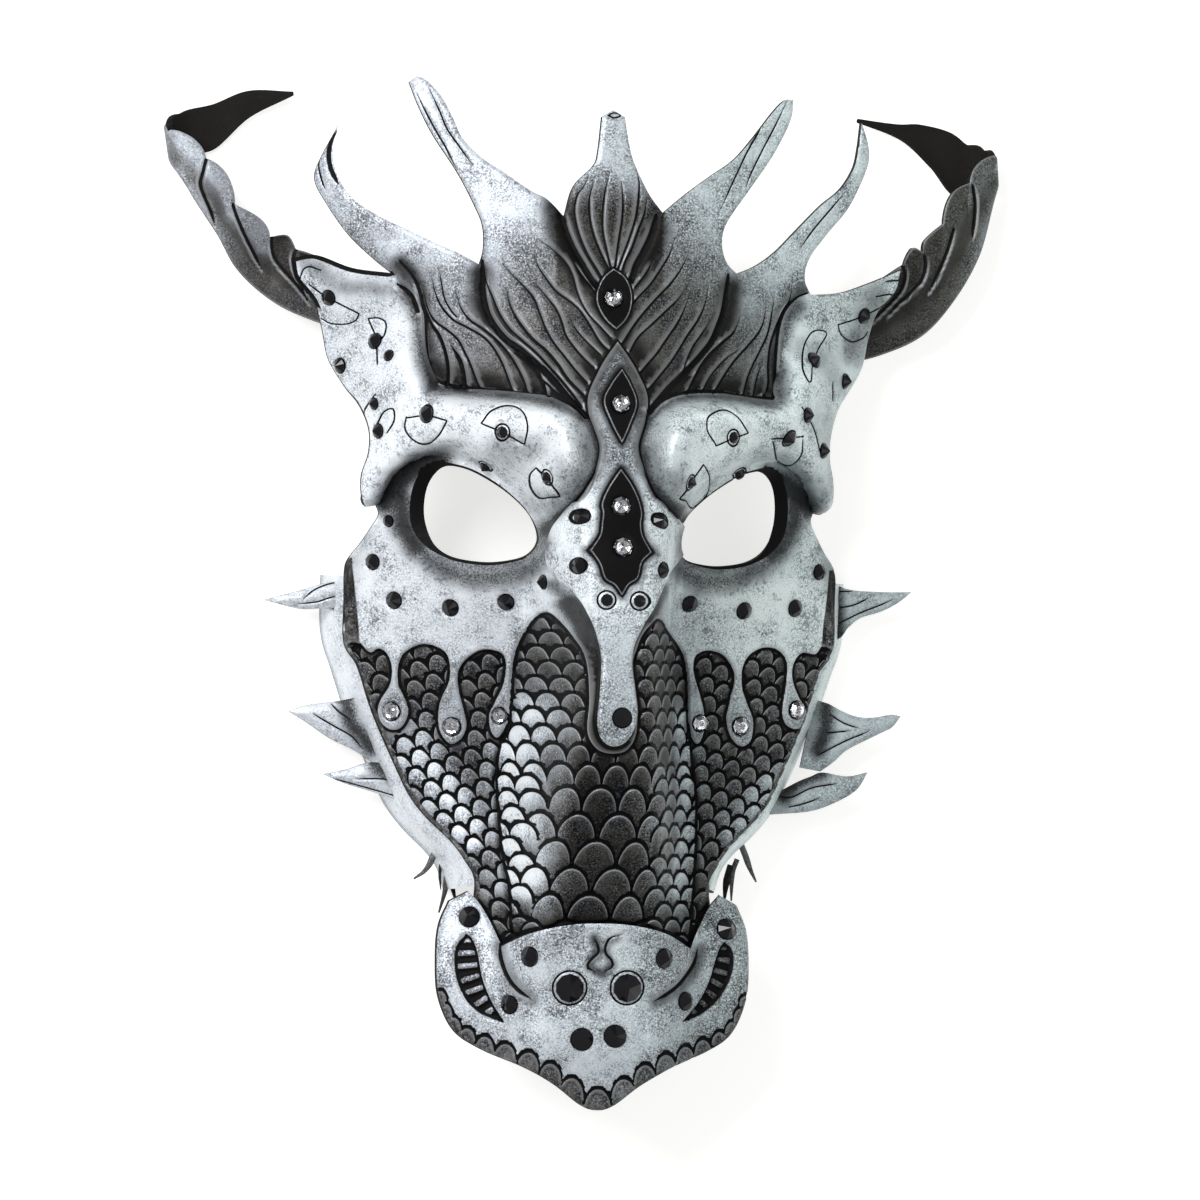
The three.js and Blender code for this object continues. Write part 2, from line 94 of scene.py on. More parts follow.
# Outlines seen from the front
EYE = [
    [20.5, 17.5], [23.5, 13], [31, 11], [38, 11], [45, 12.5], [50, 16], [53, 22], [53.5, 29],
    [52, 35], [48, 39], [42, 38.5], [35, 35], [28, 30], [22.5, 24],
]
CHEEK_SIDE = [
    [20, -111], [33, -104], [36, -95], [35.4, -84.5], [37.9, -79], [42.2, -73], [49.4, -66],
    [54.4, -59.5], [58.3, -51.5], [63.4, -40], [66.5, -32], [70, -21], [74, -14], [74.2, -1],
    [74.2, 8], [73, 11.5], [70, 15.5], [67, 20.5], [65, 24.5], [65.8, 27.3], [68.4, 26.8],
    [70.6, 29.5], [70.9, 36], [69.2, 43], [69.3, 50], [71.8, 57.5], [76, 63.5], [80.5, 71],
    [82.5, 80], [85, 88], [90.5, 94.5], [92, 100.6],
]
CROWN_RIGHT = [
    [81.6, 96.5], [72.1, 93.4], [62, 92.5], [60, 97], [61.2, 103.1], [67, 110.7], [73.4, 118],
    [77.7, 125.6], [80.5, 132.8], [80.2, 138.2], [78, 144.5], [77.1, 137], [75.6, 130.7],
    [71.3, 124.3], [64.8, 119.1], [57, 111.5], [50.4, 105], [44.3, 100.7], [38, 98],
    [34.6, 101.5], [33.2, 107], [34.7, 113.2], [42, 123.5], [49.1, 133.5], [54.7, 144.1],
    [55.7, 150.7], [53, 150.4], [49.2, 146.7], [42.7, 138.5], [36.9, 132.1], [29.5, 126.9],
    [21.6, 121.1], [14.9, 115.5], [10.6, 121.3], [6.1, 130.6], [4.5, 137], [3.4, 144], [0, 146],
]
CROWN_LEFT = [
    [-3.4, 144], [-4.6, 133.5], [-6, 129.3], [-11.9, 123], [-14.6, 114], [-19.9, 119.2],
    [-24.7, 121.6], [-32.9, 127.3], [-39, 131.4], [-44.3, 137], [-47.2, 143.3], [-50.5, 149.5],
    [-54.6, 154], [-57.3, 155.4], [-59.7, 153.6], [-56.9, 146.4], [-52.8, 138], [-45.5, 126.5],
    [-40.8, 117.3], [-38.3, 111], [-38, 104], [-39.1, 99.3], [-44.9, 102.5], [-51.3, 105.4],
    [-58.5, 108.9], [-67.9, 113.5], [-75.3, 118.8], [-79.7, 125.9], [-81, 133.4], [-79.6, 140.3],
    [-84.6, 130], [-85.8, 124.2], [-82.5, 117.4], [-76.3, 108.2], [-69.2, 100.9], [-64, 96.5],
    [-75, 98], [-85, 101.7],
]
MUZZLE_SIDE = [
    [0, -152], [5, -150.5], [13, -144.5], [22, -139.5], [34, -134.5], [42, -129], [46.5, -119],
    [47.3, -108], [46.5, -98], [43.5, -90.5], [38, -87.5], [34.5, -91.5], [31, -98],
    [28.8, -103.5], [21, -99.5], [10, -97], [0, -96.4],
]

# How pixels of the photograph lie on the mask
PIXEL = 0.3  # millimetres to a pixel
CENTRE_COLUMN = 590  # column of the mask's centre line at the height of the rim
MIDDLE = 600  # middle row and column of the photograph
TURN = math.radians(7.7)  # how far the camera stands towards -X
ROLL = math.radians(1.0)
ROUNDS = 14  # steps towards a pixel's place on the curved face
STRIDE = 0.6  # how much of the way each step takes


def clamp(values, low=0.0, high=1.0):
    return np.minimum(np.maximum(values, low), high)


def smooth(low, high, values):
    t = clamp((np.asarray(values, float) - low) / (high - low))
    return t * t * (3 - 2 * t)


def mirrored(points):
    return [[-x, y] for x, y in points]


def eased(t, start, stop, leave, arrive):
    """Cubic from one value to the next, with its slopes at both ends."""
    return (
        (2 * t**3 - 3 * t**2 + 1) * start + (t**3 - 2 * t**2 + t) * leave
        + (3 * t**2 - 2 * t**3) * stop + (t**3 - t**2) * arrive
    )


def along(keys, at):
    """Smooth value along [place, size] pairs, level outside their ends."""
    places, sizes = np.array(keys, float).T
    first = np.maximum(np.arange(len(places)) - 1, 0)
    last = np.minimum(np.arange(len(places)) + 1, len(places) - 1)
    slopes = (sizes[last] - sizes[first]) / (places[last] - places[first])
    at = clamp(np.asarray(at, float), places[0], places[-1])
    k = clamp(np.searchsorted(places, at, side="right") - 1, 0, len(places) - 2).astype(int)
    gap = places[k + 1] - places[k]
    t = (at - places[k]) / gap
    return eased(t, sizes[k], sizes[k + 1], gap * slopes[k], gap * slopes[k + 1])


def beside(line, x, y):
    """Distance to an open line, its sign to the left of the line, and the share passed."""
    line = np.asarray(line, float)
    steps = np.diff(line, axis=0)
    lengths = np.hypot(*steps.T)
    passed = np.concatenate([[0], np.cumsum(lengths)])
    nearest = np.full(np.shape(x), 1e9)
    sign = np.ones(np.shape(x))
    share = np.zeros(np.shape(x))
    for (ax, ay), (dx, dy), length, start in zip(line, steps, lengths, passed):
        t = clamp(((x - ax) * dx + (y - ay) * dy) / (length * length + 1e-12))
        away = np.hypot(x - ax - t * dx, y - ay - t * dy)
        closer = away < nearest
        nearest = np.where(closer, away, nearest)
        sign = np.where(closer, np.sign(dx * (y - ay) - dy * (x - ax)), sign)
        share = np.where(closer, (start + t * length) / passed[-1], share)
    return nearest, sign, share


def depth_inside(outline, x, y):
    """Distance to a closed outline, positive inside it."""
    closed = np.vstack([outline, outline[:1]])
    nearest = np.full(np.shape(x), 1e9)
    inside = np.zeros(np.shape(x), bool)
    for (ax, ay), (bx, by) in zip(closed, closed[1:]):
        dx, dy = bx - ax, by - ay
        t = clamp(((x - ax) * dx + (y - ay) * dy) / (dx * dx + dy * dy + 1e-12))
        nearest = np.minimum(nearest, np.hypot(x - ax - t * dx, y - ay - t * dy))
        if dy:
            inside ^= ((ay > y) != (by > y)) & (x < ax + (y - ay) / dy * dx)
    return np.where(inside, nearest, -nearest)


# Height of the face over the ground
def dome(x, y):
    share = 1 - (x / along(DOME_HALF_WIDTH, y)) ** 2
    return along(DOME_HEIGHT, y) * 0.5 * (share + np.hypot(share, DOME_SOFT))


def snout(x, y):
    top = along(SNOUT_TOP_HALF, y)
    foot = along(SNOUT_FOOT_HALF, y)
    t = clamp((np.abs(x) - top) / (foot - top))
    return along(SNOUT_HEIGHT, y) * 0.5 * (1 + np.cos(math.pi * t))


def brow(x, y):
    depth = depth_inside(BROW_EDGE, np.abs(x), y)
    fade = smooth(*BROW_FADE, y)
    rise = along(BROW_RISE, np.abs(x)) * (1 - fade) + TEMPLE_RISE * fade
    wide = along(BROW_ROUND, np.abs(x))
    wide = wide + (BROW_ROUND[0][1] - wide) * smooth(*TAIL_Y, y)
    return rise * np.sin(math.pi / 2 * clamp(depth / wide))


def face(x, y):
    return RIM_Z + dome(x, y) + snout(x, y) + brow(x, y)


def slopes_of(height, x, y, step=0.6):
    sx = (height(x + step, y) - height(x - step, y)) / (2 * step)
    sy = (height(x, y + step) - height(x, y - step)) / (2 * step)
    return sx, sy


def steepness(x, y):
    sx, sy = slopes_of(face, x, y, 1)
    return np.minimum(np.sqrt(1 + sx * sx + sy * sy), STEEPEST)


def hide_under(x, y):
    return face(x, y) - LEATHER * steepness(x, y)


def plate_under(x, y):
    return face(x, y) + GLUE * steepness(x, y)


def plate_top(x, y):
    return face(x, y) + (GLUE + PLATE) * steepness(x, y)


def on_surface(pixels, height):
    """Millimetres on a surface for pixels of the photograph."""
    columns, rows = np.array(pixels, float).T
    right = (columns - CENTRE_COLUMN) * PIXEL
    up = (MIDDLE - rows) * PIXEL
    u = right * math.cos(ROLL) - up * math.sin(ROLL)
    y = up * math.cos(ROLL) + right * math.sin(ROLL)
    x = u.copy()
    for _ in range(ROUNDS):
        found = (u - (height(x, y) - RIM_Z) * math.sin(TURN)) / math.cos(TURN)
        x = (1 - STRIDE) * x + STRIDE * found
    return np.column_stack([x, y])


def on_face(pixels):
    return on_surface(pixels, face)


def on_plate(pixels):
    return on_surface(pixels, plate_top)


def on_level(pixels, z):
    return on_surface(pixels, lambda x, y: z)


# Smooth lines
def evenly(points, step):
    """The same line with its points an even step apart."""
    gaps = np.hypot(*np.diff(points, axis=0).T)
    passed = np.concatenate([[0], np.cumsum(gaps)])
    at = np.linspace(0, passed[-1], max(int(round(passed[-1] / step)), 1) + 1)
    return np.column_stack([np.interp(at, passed, points[:, i]) for i in (0, 1)])


def smooth_line(points, step):
    """Smooth open curve through the points."""
    p = np.asarray(points, float)
    if len(p) < 3:
        return evenly(p, step)
    ends = np.vstack([2 * p[0] - p[1], p, 2 * p[-1] - p[-2]])
    t = np.linspace(0, 1, 9)[:-1, None]
    pieces = [
        0.5 * (2 * b + (c - a) * t + (2 * a - 5 * b + 4 * c - d) * t**2
               + (3 * b - a - 3 * c + d) * t**3)
        for a, b, c, d in zip(ends, ends[1:], ends[2:], ends[3:])
    ]
    return evenly(np.vstack(pieces + [p[-1:]]), step)


def smooth_loop(points, step, corner=50):
    """Smooth closed curve through the points, which stays sharp at turns over the corner."""
    p = np.asarray(points, float)
    before = p - np.roll(p, 1, 0)
    after = np.roll(p, -1, 0) - p
    turn = np.abs(np.arctan2(
        before[:, 0] * after[:, 1] - before[:, 1] * after[:, 0], (before * after).sum(1)))
    corners = np.flatnonzero(turn > math.radians(corner))
    if len(corners) == 0:
        wrapped = np.vstack([p[-3:], p, p[:4]])
        line = smooth_line(wrapped, step)
        starts = np.argmin(np.hypot(*(line - p[0]).T)[: len(line) // 2])
        stop = len(line) // 2 + np.argmin(np.hypot(*(line - p[0]).T)[len(line) // 2:])
        return line[starts:stop]
    p = np.roll(p, -corners[0], 0)
    corners = list(corners - corners[0]) + [len(p)]
    closed = np.vstack([p, p[:1]])
    runs = [smooth_line(closed[a:b + 1], step)[:-1] for a, b in zip(corners, corners[1:])]
    return np.vstack(runs)


def shifted(line, distance):
    """A line moved to its left by a distance."""
    line = np.asarray(line, float)
    heading = np.gradient(line, axis=0)
    heading /= np.hypot(*heading.T)[:, None] + 1e-9
    return line + np.column_stack([-heading[:, 1], heading[:, 0]]) * np.reshape(distance, (-1, 1))


def loop_shifted(loop, distance):
    """A closed loop moved outwards by a distance."""
    wrapped = np.vstack([loop[-2:], loop, loop[:3]])
    area = np.sum(loop[:, 0] * np.roll(loop[:, 1], -1) - loop[:, 1] * np.roll(loop[:, 0], -1))
    outwards = -math.copysign(1, area) * np.broadcast_to(distance, len(loop))
    moved = shifted(wrapped, np.concatenate([outwards[-2:], outwards, outwards[:3]]))
    return moved[2:-2]


# Carved relief and paint, gathered over the points of one sheet
def bare(x, y, tone):
    """Working values of a sheet: its relief, black ink, pale lips of paint wear with a painted
    highlight, airbrushing with painted shade, and paint tone with painted light and shade in
    places.
    """
    zero = np.zeros(len(x))
    return SimpleNamespace(
        x=x, y=y, rise=zero.copy(), cut=zero.copy(), ink=zero.copy(), lip=zero.copy(),
        shade=zero.copy(), tone=tone + zero,
    )


def near(work, line, reach):
    low = np.min(line, axis=0) - reach
    high = np.max(line, axis=0) + reach
    return np.flatnonzero(
        (work.x > low[0]) & (work.x < high[0]) & (work.y > low[1]) & (work.y < high[1]))


def tapered(width, share, fine, full):
    """Width of a groove along its length: fine and full are its shares at the two ends."""
    return width * clamp(np.minimum(fine + share / 0.3, full + (1 - share) / 0.2), 0.02, 1)


STEEP_SIDE = 0.45  # width of a groove's steep side, as a share of the groove's
EASY_SIDE = 1.2
# Mesh lines along a groove, as [share of its width, millimetres more]
RAILS = ((-EASY_SIDE, 0), (0, 0), (STEEP_SIDE, 0), (STEEP_SIDE, 0.65))


def carve(work, cut):
    """One groove, steep on its raised side, with ink in the bottom and a pale lip of paint wear
    with a painted highlight.
    """
    at = near(work, cut.line, 3 * cut.width)
    away, sign, share = beside(cut.line, work.x[at], work.y[at])
    wide = tapered(cut.width, share, cut.fine, cut.full)
    across = away * sign * cut.side / wide
    fall = clamp(np.where(across > 0, 1 - across / STEEP_SIDE, 1 + across / EASY_SIDE))
    work.cut[at] = np.maximum(work.cut[at], cut.depth * fall)
    work.ink[at] = np.maximum(work.ink[at], fall)
    past = (across - STEEP_SIDE) * wide
    crest = clamp(1.3 - np.abs(past - 0.3) / 0.35) * (past > -0.05) * clamp(share * 4)
    work.lip[at] = np.maximum(work.lip[at], crest * cut.lip)


def groove(pixels, width, depth, side=1, lip=0.7, fine=0.1, full=1.0, step=0.9, where=on_face):
    line = smooth_line(where(pixels), step)
    return SimpleNamespace(line=line, width=width, depth=depth, side=side, lip=lip, fine=fine,
                           full=full)


def rails_of(cut):
    share = np.linspace(0, 1, len(cut.line))
    width = tapered(cut.width, share, cut.fine, cut.full)
    return [shifted(cut.line, cut.side * (width * across + more)) for across, more in RAILS]


def raise_inside(work, loop, height, bevel, depth, inked=1.0):
    """Lifts what lies inside a loop over a bevelled edge, with an inked line outside it."""
    inside = depth_inside(loop, work.x, work.y)
    work.rise += height * smooth(-0.1, bevel, inside)
    outside = clamp(1 + inside / 0.9) * (inside < 0.15)
    fall = np.where(inside < 0, outside, 1 - clamp(inside / 0.15)) * inked
    work.cut = np.maximum(work.cut, depth * fall)
    work.ink = np.maximum(work.ink, fall)
    # A pale lip inside the bevel: paint wear with a painted highlight.
    wear_and_highlight = 0.6 * inked * clamp(1 - np.abs(inside - bevel * 0.6) / 0.6)
    work.lip = np.maximum(work.lip, wear_and_highlight)
    return inside


def loop_rails(loop, offsets):
    return [np.vstack([moved, moved[:1]]) for moved in (loop_shifted(loop, o) for o in offsets)]


def stroke(work, line, radius):
    """Soft stroke, 1 on its line, for airbrushing, painted shade and painted highlights."""
    at = near(work, line, 3 * radius)
    value = np.zeros(len(work.x))
    away = beside(line, work.x[at], work.y[at])[0]
    value[at] = np.exp(-(away / radius) ** 2)
    return value


# Sheets of leather
def hexagonal(loop, spacing):
    low = np.min(loop, axis=0)
    high = np.max(loop, axis=0)
    rows = np.arange(low[1], high[1], spacing * math.sqrt(3) / 2)
    points = []
    for i, y in enumerate(rows):
        xs = np.arange(low[0] + (i % 2) * spacing / 2, high[0], spacing)
        points.append(np.column_stack([xs, np.full(len(xs), y)]))
    return np.vstack(points)


def within(loops, x, y):
    """Depth inside the first loop and outside the others."""
    depth = depth_inside(loops[0], x, y)
    for hole in loops[1:]:
        depth = np.minimum(depth, -depth_inside(hole, x, y))
    return depth


def divide(points, edges, loops, spacing):
    """Triangles over the loops, with edges along the lines given and even points between."""
    grid = hexagonal(loops[0], spacing)
    grid = grid[within(loops, *grid.T) > 0.5 * spacing]
    tree = KDTree(len(points))
    for i, (x, y) in enumerate(points):
        tree.insert((x, y, 0), i)
    tree.balance()
    clear = [tree.find((x, y, 0))[2] > 0.62 * spacing for x, y in grid]
    every = np.vstack([points, grid[np.array(clear, bool)]])
    made, _, triangles, origins, _, _ = delaunay_2d_cdt(
        [Vector(p) for p in every], [tuple(e) for e in edges], [], 0, 1e-5)
    flat = np.array(made)
    triangles = np.array(triangles)
    middles = flat[triangles].mean(1)
    kept = triangles[within(loops, *middles.T) > 0]
    return flat, kept, origins


def chain(lines, closed):
    """All points of some lines, and the edges along them."""
    points, edges = [], []
    for line, shut in zip(lines, closed):
        first = len(points)
        points.extend(line)
        edges += [(first + i, first + i + 1) for i in range(len(line) - 1)]
        if shut:
            edges.append((first + len(line) - 1, first))
    return np.array(points), edges


def close_back(bm, first, lower, lower_edges, loops, spacing):
    """The flesh side of a sheet, between the lower edges of its walls."""
    lower.sort(key=lambda v: v.index)
    rim_points = np.array([v.co.xy for v in lower])
    rim_edges = [
        (e.verts[0].index - first, e.verts[1].index - first)
        for e in lower_edges if e.verts[0].index >= first and e.verts[1].index >= first
    ]
    back, triangles, origins = divide(rim_points, rim_edges, loops, spacing)
    corners = {}
    for i in np.unique(triangles):
        known = [o for o in origins[i] if o < len(lower)]
        corners[i] = lower[known[0]] if known else bm.verts.new((*back[i], 0))
    for a, b, c in triangles:
        side = bm.faces.new((corners[c], corners[b], corners[a]))
        side.material_index = 1
    for edge in lower_edges:
        edge.smooth = False
    bm.verts.index_update()


def sheet(loops, rails, spacing, top, under, finish, back_spacing=4.5):
    """A sheet of leather: a carved grain side, cut edges and a plain flesh side."""
    points, edges = chain(loops + rails, [True] * len(loops) + [False] * len(rails))
    flat, triangles, _ = divide(points, edges, loops, spacing)
    used = np.unique(triangles)
    renumber = np.zeros(len(flat), int)
    renumber[used] = np.arange(len(used))
    flat, triangles = flat[used], renumber[triangles]
    bm = bmesh.new()
    grain = [bm.verts.new((x, y, 0)) for x, y in flat]
    for a, b, c in triangles:
        bm.faces.new((grain[a], grain[b], grain[c]))
    bm.verts.index_update()
    rim = [e for e in bm.edges if e.is_boundary]
    for edge in rim:
        edge.smooth = False
    made = bmesh.ops.extrude_edge_only(bm, edges=rim)["geom"]
    lower = [v for v in made if isinstance(v, bmesh.types.BMVert)]
    lower_edges = [e for e in made if isinstance(e, bmesh.types.BMEdge)]
    for wall in made:
        if isinstance(wall, bmesh.types.BMFace):
            wall.material_index = 1
    bm.verts.index_update()
    first = len(grain)
    close_back(bm, first, lower, lower_edges, loops, back_spacing)
    place = np.array([v.co.xy for v in bm.verts])
    x, y = place.T
    work = finish(x[:first], y[:first])
    z = np.concatenate([top(x[:first], y[:first]), under(x[first:], y[first:])])
    sx, sy = slopes_of(top, x[:first], y[:first])
    normal = np.column_stack([-sx, -sy, np.ones(first)])
    normal /= np.linalg.norm(normal, axis=1)[:, None]
    solid = np.column_stack([x, y, z])
    solid[:first] += normal * (work.rise - work.cut)[:, None]
    for vert, spot in zip(bm.verts, solid):
        vert.co = Vector(spot) * MM + ORIGIN
    bmesh.ops.recalc_face_normals(bm, faces=bm.faces[:])
    for side in bm.faces:
        side.smooth = True
    return painted(bm, work, np.arange(first))


BRUSHED = ("ink", "lip", "shade", "tone")  # what the paint of a grain side reads at each point


def mesh_from(bm, name):
    mesh = bpy.data.meshes.new(name)
    bm.to_mesh(mesh)
    bm.free()
    return mesh


def placed(name, data):
    """A new object of the scene."""
    made = bpy.data.objects.new(name, data)
    bpy.context.collection.objects.link(made)
    return made


def painted(bm, work, front):
    """Mesh of a piece, with what was carved and brushed on its front points kept on it."""
    mesh = mesh_from(bm, "leather")
    for key in BRUSHED:
        values = np.zeros(len(mesh.vertices))
        values[front] = getattr(work, key)
        mesh.attributes.new(key, "FLOAT", "POINT").data.foreach_set("value", values)
    return mesh


def strap(grain, flesh, work):
    """A bent strip from a grid of points on its grain side and one on its flesh side."""
    rows, columns = grain.shape[:2]
    bm = bmesh.new()
    bmesh.ops.create_grid(bm, x_segments=rows - 1, y_segments=columns - 1, size=0.5)
    bmesh.ops.extrude_face_region(bm, geom=bm.faces[:], use_keep_orig=True)
    bm.verts.index_update()
    places = np.array([v.co.xy for v in bm.verts])
    places -= places.min(0)
    i = np.rint(places[:, 0] / places[:, 0].max() * (rows - 1)).astype(int)
    j = np.rint(places[:, 1] / places[:, 1].max() * (columns - 1)).astype(int)
    count = rows * columns
    spots = np.where(np.arange(2 * count)[:, None] < count, grain[i, j], flesh[i, j])
    for vert, spot in zip(bm.verts, spots):
        vert.co = Vector(spot) * MM + ORIGIN
    for side in bm.faces:
        side.smooth = True
        side.material_index = int(max(v.index for v in side.verts) >= count)
    for edge in bm.edges:
        edge.smooth = len({f.material_index for f in edge.link_faces}) == 1
    bmesh.ops.recalc_face_normals(bm, faces=bm.faces[:])
    order = i[:count] * columns + j[:count]
    for key in BRUSHED:
        setattr(work, key, getattr(work, key)[order])
    return painted(bm, work, np.arange(count))


def joined(name, *meshes):
    """One object from some meshes."""
    bm = bmesh.new()
    for mesh in meshes:
        bm.from_mesh(mesh)
    return placed(name, mesh_from(bm, name))


# Carved lines, in pixels of the photograph, each from its fine end as [width, points]
LEFT_CUTS = [
    [0.8, [(486, 268), (488, 284), (494, 299), (501, 316), (511, 331), (525, 344), (540, 357),
           (560, 379), (573, 395), (583, 409)]],
    [1.0, [(508, 292), (511, 306), (517, 319), (526, 332), (536, 343), (548, 353), (560, 367),
           (570, 382), (585, 398)]],
    [0.7, [(505, 268), (514, 278), (526, 290), (535, 301), (541, 316), (547, 331), (555, 345),
           (566, 359), (576, 372), (588, 386)]],
    [0.7, [(536, 286), (547, 299), (557, 312), (563, 325), (567, 338), (575, 350), (585, 362),
           (594, 371)]],
    [0.7, [(535, 257), (539, 269), (547, 281), (557, 294), (569, 303), (579, 312), (586, 322),
           (592, 332), (599, 344), (607, 353)]],
    [0.6, [(541, 244), (554, 253), (566, 265), (573, 278), (577, 293), (582, 306), (589, 318),
           (598, 328), (610, 341)]],
    [0.5, [(572, 325), (580, 337), (589, 347), (600, 358)]],
    [0.6, [(574, 265), (582, 278), (589, 287), (595, 295)]],
    [0.7, [(426, 294), (431, 312), (438, 323), (450, 332), (460, 341), (467, 354), (473, 367),
           (479, 383), (483, 391)]],
    [1.0, [(427, 308), (434, 325), (442, 337), (448, 353), (451, 369), (451, 386)]],
    [0.7, [(433, 275), (438, 296), (445, 310), (456, 322), (469, 329), (484, 338), (494, 348),
           (503, 363), (509, 378), (514, 392)]],
    [0.5, [(441, 271), (444, 287), (447, 301), (453, 312), (459, 319)]],
    [0.8, [(458, 294), (463, 310), (472, 322), (485, 331), (498, 342), (508, 353), (517, 366),
           (525, 382), (529, 394)]],
    [1.3, [(453, 347), (462, 360), (466, 373), (468, 388)]],
    [1.0, [(520, 356), (535, 367), (542, 379), (547, 390), (549, 400)]],
    [0.6, [(541, 379), (548, 385), (556, 393), (563, 399)]],
    [0.6, [(589, 179), (584, 190), (578, 198), (575, 212), (577, 228), (582, 244), (589, 259),
           (597, 272), (602, 281)]],
    [0.8, [(594, 185), (590, 200), (590, 219), (594, 238), (601, 256), (608, 271)]],
    [0.7, [(609, 177), (605, 196), (603, 215), (603, 234), (607, 254), (611, 271)]],
]
RIGHT_CUTS = [
    [0.7, [(621, 185), (622, 204), (621, 223), (618, 242), (614, 271)]],
    [0.7, [(635, 170), (638, 185), (637, 204), (634, 223), (628, 242), (621, 261), (617, 272)]],
    [0.7, [(646, 201), (643, 217), (637, 233), (631, 250), (624, 265), (621, 275)]],
    [0.6, [(651, 264), (644, 277), (634, 290)]],
    [0.6, [(673, 243), (668, 257), (659, 272), (649, 287), (638, 299), (632, 307)]],
    [0.7, [(687, 256), (679, 272), (668, 287), (655, 301), (641, 318), (631, 332), (621, 348)]],
    [0.6, [(686, 289), (675, 303), (662, 316), (649, 329), (637, 341), (629, 355)]],
    [0.7, [(687, 301), (681, 315), (674, 328), (665, 341), (655, 356), (647, 366), (639, 376)]],
    [0.7, [(707, 289), (703, 306), (696, 322), (685, 338), (677, 351), (668, 365), (657, 379),
           (646, 393)]],
    [0.6, [(708, 323), (699, 337), (691, 348), (685, 360), (680, 374)]],
    [0.9, [(738, 319), (731, 334), (719, 345), (707, 357), (696, 372), (684, 395)]],
    [0.5, [(737, 351), (725, 359), (715, 369), (706, 381), (699, 395)]],
    [0.7, [(764, 301), (762, 318), (757, 332), (747, 345), (732, 362), (721, 378), (711, 395)]],
    [0.7, [(773, 292), (769, 315), (765, 334), (759, 348), (750, 366), (744, 381), (740, 397)]],
    [0.6, [(758, 366), (753, 382), (750, 399)]],
    [0.8, [(790, 281), (787, 300), (779, 315), (772, 331), (767, 348), (765, 366), (765, 385),
           (762, 400)]],
]
# Edges where one panel of the crown lies over the next
LEFT_STEPS = [
    [2.0, [(484, 263), (485, 280), (485, 292), (487, 305), (491, 318), (499, 331), (509, 342),
           (522, 351), (537, 364), (553, 379), (566, 395), (576, 407), (586, 418)]],
    [2.0, [(559, 207), (563, 219), (568, 236), (575, 252), (583, 266), (590, 278), (597, 288)]],
    [1.3, [(400, 286), (408, 291), (415, 299), (420, 313)]],
]
RIGHT_STEPS = [
    [2.0, [(726, 277), (724, 293), (721, 312), (716, 327), (709, 343), (699, 356), (688, 368),
           (677, 379), (666, 390), (656, 402), (647, 414)]],
    [2.0, [(655, 218), (649, 238), (641, 255), (634, 268), (630, 282)]],
]
# Border between the crown and the brows, from the temple to the middle strip
LEFT_BORDER = [
    (402, 264), (413, 277), (420, 291), (424, 307), (427, 322), (427, 351), (430, 366), (435, 378),
    (446, 386), (467, 390), (503, 394), (529, 397), (549, 400), (569, 409), (586, 420),
]
RIGHT_BORDER = [
    (806, 294), (795, 299), (785, 309), (779, 322), (776, 337), (774, 359), (773, 380), (773, 400),
    (763, 402), (735, 398), (710, 394), (686, 395), (672, 398), (660, 404), (648, 415),
]
SPIKE_CUTS = [
    [(418, 95), (427, 113), (437, 132), (448, 151), (458, 172)],
    [(430, 90), (441, 113), (449, 132), (460, 148), (474, 168)],
    [(322, 152), (321, 166), (324, 180), (328, 192)],
    [(769, 110), (758, 133), (746, 154), (735, 177), (720, 210)],
    [(786, 101), (773, 129), (760, 154), (748, 179), (744, 191)],
    [(844, 192), (829, 210), (813, 229), (799, 248)],
]
SPIKE_CURLS = [
    [(341, 130), (334, 142), (332, 156), (334, 170), (341, 186)],
    [(855, 118), (858, 142), (851, 162), (842, 176)],
]
STRIP = [
    (617, 345), (605, 362), (597, 377), (589, 398), (589, 415), (594, 432), (599, 450), (595, 470),
    (584, 488), (570, 508), (556, 526), (549, 545), (550, 565), (560, 580), (575, 591), (588, 610),
    (596, 635), (600, 655), (600, 672), (598, 700), (596, 720), (599, 734), (606, 742), (615, 744),
    (625, 740), (633, 729), (637, 712), (635, 690), (632, 664), (634, 645), (643, 625), (653, 603),
    (663, 577), (676, 560), (684, 545), (684, 530), (674, 514), (658, 499), (645, 473), (638, 450),
    (644, 425), (646, 400), (637, 376), (627, 359),
]
ALMOND = [
    (613, 272), (604, 280), (598, 292), (597, 305), (601, 316), (607, 325), (616, 333), (624, 325),
    (629, 315), (631, 302), (629, 290), (623, 279),
]
DIAMOND = [(621, 375), (611, 389), (604, 405), (611, 425), (621, 445), (629, 426), (635, 407),
           (629, 389)]
SHIELD = [
    (620, 471), (609, 488), (602, 505), (603, 515), (602, 527), (600, 539), (591, 552), (600, 565),
    (605, 579), (614, 585), (621, 595), (627, 585), (636, 578), (640, 563), (649, 554), (641, 540),
    (639, 528), (640, 516), (637, 502), (630, 486),
]
DRIPS_LEFT = [
    (361, 644), (371, 653), (380, 649), (388, 655), (392, 668), (390, 684), (381, 699), (378, 710),
    (382, 723), (392, 730), (403, 727), (410, 712), (406, 697), (400, 684), (400, 666), (406, 653),
    (421, 645), (434, 646), (446, 653), (450, 666), (449, 681), (441, 699), (438, 716), (441, 733),
    (451, 744), (462, 739), (468, 725), (464, 705), (460, 688), (460, 671), (469, 658), (484, 650),
    (501, 653), (506, 664), (503, 684), (495, 701), (489, 716), (491, 731), (497, 738), (503, 733),
    (509, 720), (511, 701), (513, 677), (516, 655), (525, 634), (538, 617), (549, 613), (560, 621),
    (573, 636), (584, 653), (588, 673), (589, 701), (587, 727), (591, 741),
]
DRIP_NOSE = [(601, 750), (616, 752), (627, 748), (635, 736), (638, 713), (636, 690), (633, 665)]
